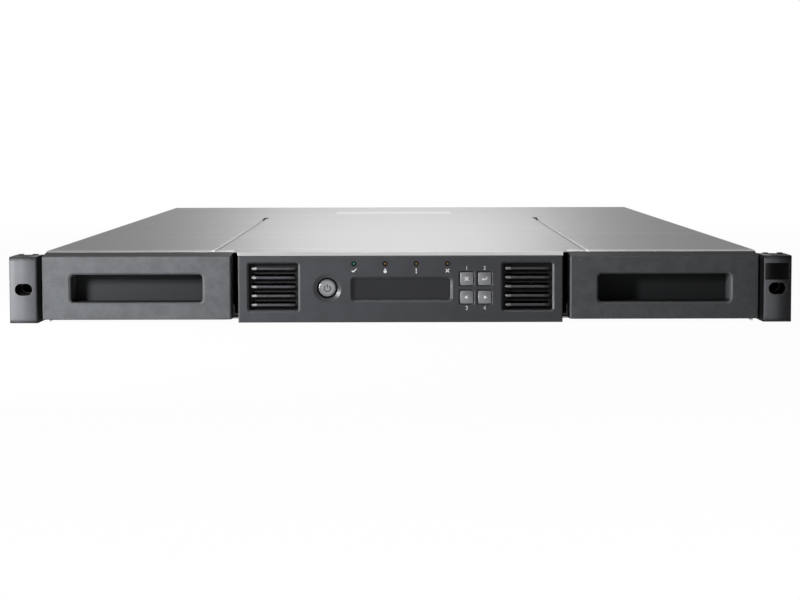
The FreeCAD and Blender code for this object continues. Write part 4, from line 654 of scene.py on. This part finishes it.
dress(drawnMetal("port_shell", portLook), "rear_ports")
print("metals and mouldings dressed")

# Keys, button, lights and display
keyLook = {"tone": shade(124, 125, 129), "spread": (0.9, 1.1), "flake": 3200.0, "roughness": 0.36,
           "roughSwing": 0.06, "edge": 0.3 * mm, "worn": shade(250), "wear": 0.4, "bump": 0.05}
buttonLook = {"tone": shade(147, 148, 151), "spread": (0.84, 1.08), "ring": shade(93, 94, 98),
              "ringRadius": (4.25 * mm, 4.6 * mm), "skirt": 5.45 * mm, "skirtShade": shade(6),
              "brush": (260, 260, 2400), "roughness": (0.38, 0.26), "edge": 0.4 * mm, "worn": shade(252),
              "wear": 0.4, "bump": 0.06}


def keyPaint(look):
    paint = Finish("key_paint", Metallic=0.55)
    flake = paint.noise(look["flake"], 2.0)
    soft, worn = paint.edge(look["edge"])
    tone = paint.vary(paint.ease(flake, *midBand), look["tone"], look["spread"])
    paint.feed(Base_Color=paint.tint(worn * look["wear"], tone, look["worn"]),
               Roughness=paint.ease(flake, *midBand, *around(look["roughness"], look["roughSwing"])),
               Normal=paint.bump(flake, look["bump"], grainDepth, soft))
    return paint.material


def buttonMetal(look):
    metal = Finish("button_metal", Metallic=0.8)
    x, _, z = metal.axes()
    across = x - buttonMiddle.x
    up = z - buttonMiddle.z
    radius = (across * across + up * up) ** 0.5
    brush = metal.noise(1.0, 3.0, look["brush"])
    tone = metal.vary(metal.ease(brush, *midBand), look["tone"], look["spread"])
    soft, worn = metal.edge(look["edge"])
    tone = metal.tint(worn * look["wear"], tone, look["worn"])
    tone = metal.tint(radius.between(*look["ringRadius"]), tone, look["ring"])
    # painted shade: the button's skirt, seen in the gap around it, is painted near black
    metal.feed(Base_Color=metal.tint(radius > look["skirt"], tone, look["skirtShade"]),
               Roughness=metal.ease(brush, *midBand, *look["roughness"]),
               Normal=metal.bump(brush, look["bump"], grainDepth, soft))
    return metal.material


lightLook = {
    "centreReach": (0.3 * mm, 0.9 * mm),
    "haze": 900.0,
    "hazeReach": 0.4 * mm,
    "green": {"rim": shade(12, 32, 26), "centre": shade(43, 106, 90)},
    "amber": {"rim": shade(32, 24, 12), "centre": shade(112, 88, 54)},
}


def lensGlow(hue, node, look):
    low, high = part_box(node)
    lens = Finish(f"lens_{hue}", Roughness=0.25, Specular_IOR_Level=0.2)
    x, _, z = lens.axes()
    across = (x - low.x).steps(lightPitch) - (high.z - low.z) / 2
    up = z - (low.z + high.z) / 2
    radius = (across * across + up * up) ** 0.5
    haze = lens.noise(look["haze"], 2.0)
    # painted glow: the unlit lens is painted lighter towards its centre
    glow = lens.ease(radius + (haze - 0.5) * look["hazeReach"], *look["centreReach"], 1.0, 0.0)
    lens.feed(Base_Color=lens.tint(glow, look[hue]["rim"], look[hue]["centre"]))
    return lens.material


displayMiddle = middleOf("display_window").x
windowLook = {"glass": shade(27, 28, 31), "screen": shade(37, 38, 41), "screenX": 29.5 * mm,
              "screenZ": (15.4 * mm, 26.4 * mm), "cell": 3.4 * mm, "cellGap": 0.35 * mm, "cellShare": 0.3,
              "smear": 45.0, "roughness": (0.10, 0.17)}
moduleLook = {"frame": shade(58), "screen": shade(66, 74, 70), "screenX": 30 * mm,
              "screenZ": (14.0 * mm, 27.6 * mm), "haze": 300.0, "spread": (0.8, 1.15)}


def smokedWindow(look):
    glass = Finish("smoked_window", Specular_IOR_Level=0.3)
    x, _, z = glass.axes()
    inside = (abs(x - displayMiddle) < look["screenX"]) * z.between(*look["screenZ"])
    cell = inside * ((x + 1.0).steps(look["cell"]) > look["cellGap"])
    smear = glass.noise(look["smear"], 3.0)
    glass.feed(Base_Color=glass.tint(cell * look["cellShare"], look["glass"], look["screen"]),
               Roughness=glass.ease(smear, *midBand, *look["roughness"]))
    return glass.material


def displayGlass(look):
    glass = Finish("display_glass", Roughness=0.25)
    x, _, z = glass.axes()
    inside = (abs(x - displayMiddle) < look["screenX"]) * z.between(*look["screenZ"])
    tone = glass.vary(glass.noise(look["haze"], 2.0), look["screen"], look["spread"])
    glass.feed(Base_Color=glass.tint(inside, look["frame"], tone))
    return glass.material


dress(keyPaint(keyLook), "cancel_key", "enter_key", "previous_key", "next_key")
dress(buttonMetal(buttonLook), "power_button")
dress(lensGlow("green", "ready_light", lightLook), "ready_light")
dress(lensGlow("amber", "status_lights", lightLook), "status_lights")
dress(smokedWindow(windowLook), "display_window")
dress(displayGlass(moduleLook), "display_module")

# Circuit boards, their parts, the belt and the flat cable
boardLook = {"mask": shade(22, 74, 44), "copper": shade(40, 104, 66), "pad": shade(196, 176, 112),
             "pads": 260.0, "padSize": 0.16, "padMetal": 0.8, "wander": 60.0, "weave": 1500.0,
             "weaveShare": 0.1, "bump": 0.1,
             "tracks": {"pitch": 2.0 * mm, "width": 0.7 * mm, "wander": 4 * mm, "fields": 35.0,
                        "from": 0.48},
             "cross": {"pitch": 2.6 * mm, "width": 0.8 * mm, "wander": 3 * mm, "fields": 28.0,
                       "from": 0.55}}
partsLook = {"chip": shade(34), "spread": (0.8, 1.3), "grain": 700.0, "sleeve": shade(52, 54, 66),
             "alloy": shade(150, 152, 155), "alloyMetal": 0.85, "sinkX": 72 * mm,
             "sinkY": (40 * mm, 92 * mm), "canRow": 12 * mm, "canTop": 0.2 * mm, "bump": 0.06}
beltLook = {"dark": shade(24), "light": shade(38), "grain": 1200.0, "grainShare": 0.1, "pitch": 2.0 * mm,
            "flank": (0.1, 0.4), "tooth": 0.4 * mm, "bump": 0.4}
cableLook = {"valley": shade(118, 118, 122), "ridge": shade(168, 168, 172), "first": shade(150, 44, 40),
             "grain": 800.0, "grainShare": 0.2, "pitch": 1.27 * mm, "flank": (0.2, 0.5), "height": 0.3 * mm,
             "bump": 0.5}


def boardLaminate(look):
    board = Finish("board_laminate", Roughness=0.35, Coat_Weight=0.3)
    x, y, z = board.axes()
    wander = board.noise(look["wander"], 1.0)

    def copperLines(along, lines):
        # wandering parallel lines that fill some fields of the board
        inside = (along + wander * lines["wander"]).steps(lines["pitch"]) < lines["width"]
        return inside * (board.noise(lines["fields"], 1.0) > lines["from"])

    copper = (copperLines(x, look["tracks"]) + copperLines(y + z, look["cross"])).held()
    pads = board.cells(look["pads"], "Distance") < look["padSize"]
    weave = board.noise(look["weave"], 2.0)
    board.feed(Base_Color=board.tint(pads, board.tint(copper, look["mask"], look["copper"]), look["pad"]),
               Metallic=pads * look["padMetal"],
               Normal=board.bump(copper + weave * look["weaveShare"], look["bump"], grainDepth))
    return board.material


def boardParts(look):
    low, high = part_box("controller_parts")
    parts = Finish("board_parts", Roughness=0.45)
    x, y, z = parts.axes()
    near, far = look["sinkY"]
    sink = (x < low.x + look["sinkX"]) * y.between(low.y + near, low.y + far)
    cans = (y > high.y - look["canRow"]) * (1 - sink)
    bare = (sink + cans * (z > high.z - look["canTop"])).held()
    grain = parts.noise(look["grain"], 3.0)
    tone = parts.tint(cans, parts.vary(grain, look["chip"], look["spread"]), look["sleeve"])
    parts.feed(Base_Color=parts.tint(bare, tone, look["alloy"]),
               Metallic=bare * look["alloyMetal"],
               Normal=parts.bump(grain, look["bump"], grainDepth))
    return parts.material


def beltRubber(look):
    rubber = Finish("belt_rubber", Roughness=0.7)
    x, y, _ = rubber.axes()
    teeth = (y + x).steps(look["pitch"]) / look["pitch"]
    grain = rubber.noise(look["grain"], 2.0)
    height = rubber.ease(abs(teeth - 0.5), *look["flank"]) + grain * look["grainShare"]
    rubber.feed(Base_Color=rubber.tint(grain, look["dark"], look["light"]),
                Normal=rubber.bump(height, look["bump"], look["tooth"]))
    return rubber.material


def flatCable(look):
    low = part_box("panel_cable")[0]
    cable = Finish("flat_cable", Roughness=0.45)
    along = cable.axes()[0] - low.x
    wires = along.steps(look["pitch"]) / look["pitch"]
    ridge = cable.ease(abs(wires - 0.5), *look["flank"], 1.0, 0.0)
    grain = cable.noise(look["grain"], 2.0)
    cloud = cable.ease(ridge + (grain - 0.5) * look["grainShare"], 0.0, 1.0)
    tone = cable.tint(cloud, look["valley"], look["ridge"])
    cable.feed(Base_Color=cable.tint(along < look["pitch"], tone, look["first"]),
               Normal=cable.bump(ridge, look["bump"], look["height"]))
    return cable.material


dress(boardLaminate(boardLook), "control_board", "controller_board")
dress(boardParts(partsLook), "controller_parts")
dress(beltRubber(beltLook), "drive_belt")
dress(flatCable(cableLook), "panel_cable")
print("small parts dressed")

# Small pieces in plain mesh work: signs, screws and what sits in the rear sockets
paintSkin = {"specks": 2600.0, "cloud": 180.0, "speckShare": 0.5, "spread": (0.88, 1.08), "roughSwing": 0.06,
             "bump": 0.08}
mergeReach = 1e-7
sharpAngle = 35


def flatPaint(name, tone, roughness=0.5, metallic=0.0, gloss=0.4):
    paint = Finish(name, Metallic=metallic, Specular_IOR_Level=gloss)
    specks = paint.noise(paintSkin["specks"], 2.0)
    cloud = paint.noise(paintSkin["cloud"], 3.0)
    mix = paint.ease(blend(specks, cloud, paintSkin["speckShare"]), *midBand)
    paint.feed(Base_Color=paint.vary(mix, tone, paintSkin["spread"]),
               Roughness=paint.ease(cloud, *midBand, *around(roughness, paintSkin["roughSwing"])),
               Normal=paint.bump(specks, paintSkin["bump"], grainDepth / 2))
    return paint.material


whiteInk = flatPaint("ink_white", shade(226))
darkInk = flatPaint("ink_dark", shade(48, 49, 53))
# near-black steel of the rack screws: blackened, and painted darker still as the shade deep in the ear holes
darkSteel = flatPaint("steel_blackened_shade", shade(3), 0.9, 0.0, 0.02)
contactGold = flatPaint("contact_gold", shade(206, 172, 96), 0.25, 1.0)
socketBlack = flatPaint("socket_black", shade(20), 0.4)


def keepPiece(name, shape, material, body):
    bmesh.ops.remove_doubles(shape, verts=shape.verts, dist=mergeReach)
    bmesh.ops.recalc_face_normals(shape, faces=shape.faces)
    mesh = bpy.data.meshes.new(name)
    shape.to_mesh(mesh)
    shape.free()
    for polygon in mesh.polygons:
        polygon.use_smooth = True
    mesh.set_sharp_from_angle(angle=math.radians(sharpAngle))
    mesh.materials.append(material)
    piece = bpy.data.objects.new(name, mesh)
    scene.collection.objects.link(piece)
    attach(piece, body)
    return piece


def soften(shape, edges, offset, segments):
    bmesh.ops.bevel(shape, geom=list(edges), offset=offset, segments=segments, profile=0.5, affect="EDGES",
                    material=-1)


def addBar(shape, low, high, softness):
    # a block between two corners, its edges softened
    grow = Matrix.Diagonal((*(high - low), 1.0))
    made = bmesh.ops.create_cube(shape, size=1.0, matrix=moved(*(low + high) / 2) @ grow)
    if softness:
        soften(shape, {edge for vert in made["verts"] for edge in vert.link_edges}, softness, 2)


def addRod(shape, radius, length, matrix, sides):
    bmesh.ops.create_cone(shape, cap_ends=True, segments=sides, radius1=radius, radius2=radius, depth=length,
                          matrix=matrix)


def addStamp(shape, template, spot):
    # one more copy of a finished mesh
    count = len(shape.verts)
    shape.from_mesh(template)
    shape.verts.ensure_lookup_table()
    bmesh.ops.transform(shape, matrix=spot, verts=shape.verts[count:])


# Strokes of a sign, in millimetres from its middle, seen from the front
signLook = {
    "proud": 0.06 * mm,
    "sunk": 0.25 * mm,
    "keys": {
        "cancel": [("bar", 0, 0, 3.2, 0.65, 45), ("bar", 0, 0, 3.2, 0.65, -45)],
        "enter": [("bar", 0.4, -0.3, 2.2, 0.6, 0), ("bar", 1.3, 0.35, 1.6, 0.6, 90),
                  ("tip", -1.0, -0.3, 0.95, 180)],
        "previous": [("tip", -0.2, 0, 1.3, 180)],
        "next": [("tip", 0.2, 0, 1.3, 0)],
    },
    "power": [("arc", 0, -0.2, 2.0, 0.6, 122, 296), ("bar", 0, 1.3, 2.2, 0.6, 90)],
    "lights": [
        [("bar", -0.85, -0.3, 1.5, 0.5, -45), ("bar", 0.55, 0.25, 3.0, 0.5, 45)],
        [("dot", 0, -0.45, 1.0), ("tip", 0, 0.55, 1.0, 90)],
        [("bar", 0, 0.5, 2.0, 0.6, 90), ("dot", 0, -1.2, 0.4)],
        [("bar", 0, 0, 3.0, 0.5, 45), ("bar", 0, 0, 3.0, 0.5, -45)],
    ],
    "lightDrop": 4.4 * mm,
    "numbers": {"cancel": ("1", 6.6 * mm), "enter": ("2", 6.6 * mm), "previous": ("3", -6.8 * mm),
                "next": ("4", -6.8 * mm)},
    "numberSize": 3.4 * mm,
    "arcSteps": 40,
    "dotSides": 24,
}


def drawArc(shape, at, thick, radius, width, start, sweep):
    inner, outer = around(radius * mm, width / 2 * mm)
    corners = [shape.verts.new(spot) for spot in ((inner, -thick / 2, 0), (outer, -thick / 2, 0),
                                                  (outer, thick / 2, 0), (inner, thick / 2, 0))]
    section = shape.faces.new(corners)
    bmesh.ops.transform(shape, matrix=at @ turned(-start, "Y"), verts=corners)
    bmesh.ops.spin(shape, geom=[section, *section.edges, *corners], cent=at.translation, axis=(0, 1, 0),
                   dvec=(0, 0, 0), angle=math.radians(-sweep), steps=signLook["arcSteps"])


def drawSign(shape, strokes, middle, thick):
    # middle is the centre of the sign's front, thick its depth into the surface
    for kind, x, z, *sizes in strokes:
        at = moved(*(Vector(middle) + Vector((x * mm, thick / 2, z * mm))))
        if kind == "bar":
            length, width, angle = sizes
            grow = Matrix.Diagonal((length * mm, thick, width * mm, 1.0))
            bmesh.ops.create_cube(shape, size=1.0, matrix=at @ turned(-angle, "Y") @ grow)
        elif kind == "arc":
            drawArc(shape, at, thick, *sizes)
        else:
            sides, angle = (3, sizes[1]) if kind == "tip" else (signLook["dotSides"], 90)
            addRod(shape, sizes[0] * mm, thick, at @ turned(90 - angle, "Y") @ turned(90, "X"), sides)


def drawNumber(shape, text, middle, size, thick):
    words = bpy.data.curves.new("number", "FONT")
    words.body = text
    words.size = size
    words.extrude = thick / 2
    words.align_x = "CENTER"
    words.align_y = "CENTER"
    holder = bpy.data.objects.new("number", words)
    mesh = bpy.data.meshes.new_from_object(holder)
    addStamp(shape, mesh, moved(*(Vector(middle) + Vector((0, thick / 2, 0)))) @ turned(90, "X"))
    bpy.data.objects.remove(holder)
    bpy.data.curves.remove(words)
    bpy.data.meshes.remove(mesh)


def makeSigns(look):
    proud = look["proud"]
    thick = proud + look["sunk"]

    def faceOf(node):
        middle = middleOf(node)
        return middle.x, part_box(node)[0].y - proud, middle.z

    for word, strokes in look["keys"].items():
        shape = bmesh.new()
        drawSign(shape, strokes, faceOf(f"{word}_key"), thick)
        keepPiece(f"{word}_sign", shape, whiteInk, f"{word}_key")
    shape = bmesh.new()
    drawSign(shape, look["power"], faceOf("power_button"), thick)
    keepPiece("power_sign", shape, darkInk, "power_button")
    shape = bmesh.new()
    front = panelFront - proud
    for number, strokes in enumerate(look["lights"]):
        spot = (lightMiddle.x + number * lightPitch, front, lightMiddle.z - look["lightDrop"])
        drawSign(shape, strokes, spot, thick)
    for word, (number, drop) in look["numbers"].items():
        middle = middleOf(f"{word}_key")
        drawNumber(shape, number, (middle.x, front, middle.z + drop), look["numberSize"], thick)
    keepPiece("panel_signs", shape, whiteInk, "chassis")


makeSigns(signLook)
print("signs drawn")

# Star-headed screws: those of the sides stand for the CAD ones, those of the back hold the rear panel and
# the fan. Rows and spots are in millimetres
sideScrew = {"radius": 2.8 * mm, "height": 1.0 * mm, "crown": 0.3 * mm, "star": 1.35 * mm, "sink": 0.7 * mm,
             "shank": 1.5 * mm, "length": 3.2 * mm, "rows": {30.0: (-309, 10, 329), 10.1: (-358, -331)},
             "seats": {30.0: 223.0, 10.1: 223.3}}
rearScrew = {"radius": 2.3 * mm, "height": 0.9 * mm, "crown": 0.25 * mm, "star": 1.1 * mm, "sink": 0.6 * mm,
             "shank": 1.2 * mm, "length": 0.8 * mm, "fanPitch": 16.0,
             "panel": ((-215, 38.6), (-215, 5.2), (-92, 38.6), (-92, 5.2), (92, 38.6), (178, 40.0),
                       (216.5, 38.6), (216.5, 5.2))}
starPoints = 6
starSwell = 0.16
headSides = 36
shankSides = 20


def endFace(shape, along):
    # the face that lies furthest along a direction
    return max(shape.faces, key=lambda side: side.calc_center_median().dot(along))


def screwMesh(look):
    shape = bmesh.new()
    upward = Vector((0, 0, 1))
    bmesh.ops.create_cone(shape, cap_ends=True, segments=headSides, radius1=look["radius"],
                          radius2=look["radius"] - look["crown"] / 2, depth=look["height"],
                          matrix=moved(0, 0, look["height"] / 2))
    soften(shape, endFace(shape, upward).edges, look["crown"], 3)
    top = endFace(shape, upward)
    reach = max(corner.co.to_2d().length for corner in top.verts)
    bmesh.ops.inset_individual(shape, faces=[top], thickness=reach - look["star"])
    for corner in top.verts:
        swell = 1 + starSwell * math.cos(starPoints * math.atan2(corner.co.y, corner.co.x))
        corner.co.x *= swell
        corner.co.y *= swell
    made = bmesh.ops.extrude_discrete_faces(shape, faces=[top])
    bmesh.ops.translate(shape, vec=(0, 0, -look["sink"]), verts=made["faces"][0].verts)
    addRod(shape, look["shank"], look["length"], moved(0, 0, -look["length"] / 2), shankSides)
    mesh = bpy.data.meshes.new("screw")
    shape.to_mesh(mesh)
    shape.free()
    return mesh


def stampScrews(name, look, spots):
    screw = screwMesh(look)
    shape = bmesh.new()
    for spot in spots:
        addStamp(shape, screw, spot)
    bpy.data.meshes.remove(screw)
    return keepPiece(name, shape, brightSteel, "chassis")


def makeScrews():
    spots = []
    for side in (-1, 1):
        for level, row in sideScrew["rows"].items():
            for along in row:
                seat = Vector((side * sideScrew["seats"][level], along, level)) * mm
                spots.append(moved(*seat) @ turned(90 * side, "Y"))
    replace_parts(stampScrews("side_screws_star", sideScrew, spots), "side_screws")

    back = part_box("rear_panel")[1].y
    hub = middleOf("fan_rotor")
    reach = rearScrew["fanPitch"] * mm
    seats = [(x * mm, back, z * mm) for x, z in rearScrew["panel"]]
    seats += [(hub.x + across * reach, back, hub.z + up * reach) for across in (-1, 1) for up in (-1, 1)]
    stampScrews("rear_screws", rearScrew, [moved(*seat) @ turned(-90, "X") for seat in seats])


makeScrews()

# Ears: a rack screw on an oblong washer deep in each oval hole, blackened and painted near black: painted
# shade that closes the hole
rackScrew = {"washer": (10.0 * mm, 6.8 * mm, 0.9 * mm), "washerRound": 0.49, "washerSteps": 10,
             "head": 3.1 * mm, "headHeight": 3.6 * mm, "headRound": 0.3 * mm, "headSides": 32,
             "socket": 1.7 * mm, "socketDepth": 2.0 * mm, "shank": 2.6 * mm, "length": 7.0 * mm,
             "shankSides": 24, "clear": 0.25 * mm}


def makeRackScrews(look):
    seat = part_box("rack_ear_left")[0].y - look["clear"]
    level = (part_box("base_pan")[0].z + cadBox[1].z) / 2
    wide, high, deep = look["washer"]
    forward = Vector((0, -1, 0))
    lie = turned(90, "X")
    for word, side in (("left", -1), ("right", 1)):
        x = side * earHole
        shape = bmesh.new()
        bmesh.ops.create_cube(shape, size=1.0, matrix=moved(x, seat - deep / 2, level)
                              @ Matrix.Diagonal((wide, deep, high, 1.0)))
        rounds = [edge for edge in shape.edges if abs(edge.verts[0].co.y - edge.verts[1].co.y) > deep / 2]
        soften(shape, rounds, high * look["washerRound"], look["washerSteps"])
        addRod(shape, look["head"], look["headHeight"],
               moved(x, seat - deep - look["headHeight"] / 2, level) @ lie, look["headSides"])
        soften(shape, endFace(shape, forward).edges, look["headRound"], 2)
        top = endFace(shape, forward)
        rim = look["head"] - look["socket"] - look["headRound"]
        bmesh.ops.inset_individual(shape, faces=[top], thickness=rim)
        made = bmesh.ops.extrude_discrete_faces(shape, faces=[top])
        bmesh.ops.translate(shape, vec=(0, look["socketDepth"], 0), verts=made["faces"][0].verts)
        addRod(shape, look["shank"], look["length"], moved(x, seat + look["length"] / 2, level) @ lie,
               look["shankSides"])
        leaveOut(bpy.data.collections["key_spared"],
                 keepPiece(f"rack_screw_{word}", shape, darkSteel, "chassis"))


makeRackScrews(rackScrew)

# What shows in the rear sockets: liners, tongues, contacts and the pins of the serial plug. Sizes are in
# millimetres, depths are counted from the panel's back
socketLook = {
    "ethernet": {"at": (98.0,),
                 "dark": [{"half": 6.6, "deep": (-17.9, -16.5), "up": (8.9, 19.9), "softness": 0.0},
                          {"half": 6.0, "deep": (-16.5, -2.0), "up": (18.9, 19.9), "softness": 0.2}],
                 "contacts": {"count": 8, "pitch": 1.27, "half": 0.22, "deep": (-14.0, -3.0),
                              "up": (18.2, 18.6), "softness": 0.08}},
    "usb": {"at": (120.0,),
            "dark": [{"half": 4.4, "deep": (-12.0, -1.0), "up": (10.9, 12.5), "softness": 0.2}],
            "contacts": {"count": 4, "pitch": 2.0, "half": 0.5, "deep": (-11.0, -1.6), "up": (10.7, 10.95),
                         "softness": 0.05}},
    "serial": {"at": (150.0,),
               "dark": [{"half": 8.6, "deep": (-9.8, -2.6), "up": (9.9, 17.7), "softness": 0.8}],
               "rods": [{"count": 5, "pitch": 2.77, "deep": -2.2, "up": 15.2, "radius": 0.5, "length": 3.0,
                         "sides": 12},
                        {"count": 4, "pitch": 2.77, "deep": -2.2, "up": 12.4, "radius": 0.5, "length": 3.0,
                         "sides": 12},
                        {"count": 2, "pitch": 24.0, "deep": -4.6, "up": 13.8, "radius": 1.9, "length": 10.0,
                         "sides": 6}]},
    "drive": {"at": (-20.0, 20.0),
              "dark": [{"half": 6.4, "deep": (-5.6, 0.6), "up": (30.9, 32.1), "softness": 0.2}],
              "contacts": {"count": 7, "pitch": 1.6, "half": 0.4, "deep": (-5.2, 0.2), "up": (32.05, 32.25),
                           "softness": 0.04}},
}


def rowOf(middle, row):
    return [middle + (number - (row["count"] - 1) / 2) * row["pitch"] for number in range(row["count"])]


def makeSockets(look):
    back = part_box("rear_panel")[1].y / mm
    dark, gold = bmesh.new(), bmesh.new()

    def block(shape, x, size):
        corners = zip(around(x, size["half"]), size["deep"], size["up"])
        low, high = (Vector((across, back + deep, up)) * mm for across, deep, up in corners)
        addBar(shape, low, high, size["softness"] * mm)

    for socket in look.values():
        for x in socket["at"]:
            for size in socket["dark"]:
                block(dark, x, size)
            if "contacts" in socket:
                for strip in rowOf(x, socket["contacts"]):
                    block(gold, strip, socket["contacts"])
            for row in socket.get("rods", []):
                for pin in rowOf(x, row):
                    spot = Vector((pin, back + row["deep"], row["up"])) * mm
                    addRod(gold, row["radius"] * mm, row["length"] * mm, moved(*spot) @ turned(90, "X"),
                           row["sides"])
    keepPiece("socket_tongues", dark, socketBlack, "chassis")
    keepPiece("socket_contacts", gold, contactGold, "chassis")


makeSockets(socketLook)
print("small pieces made")
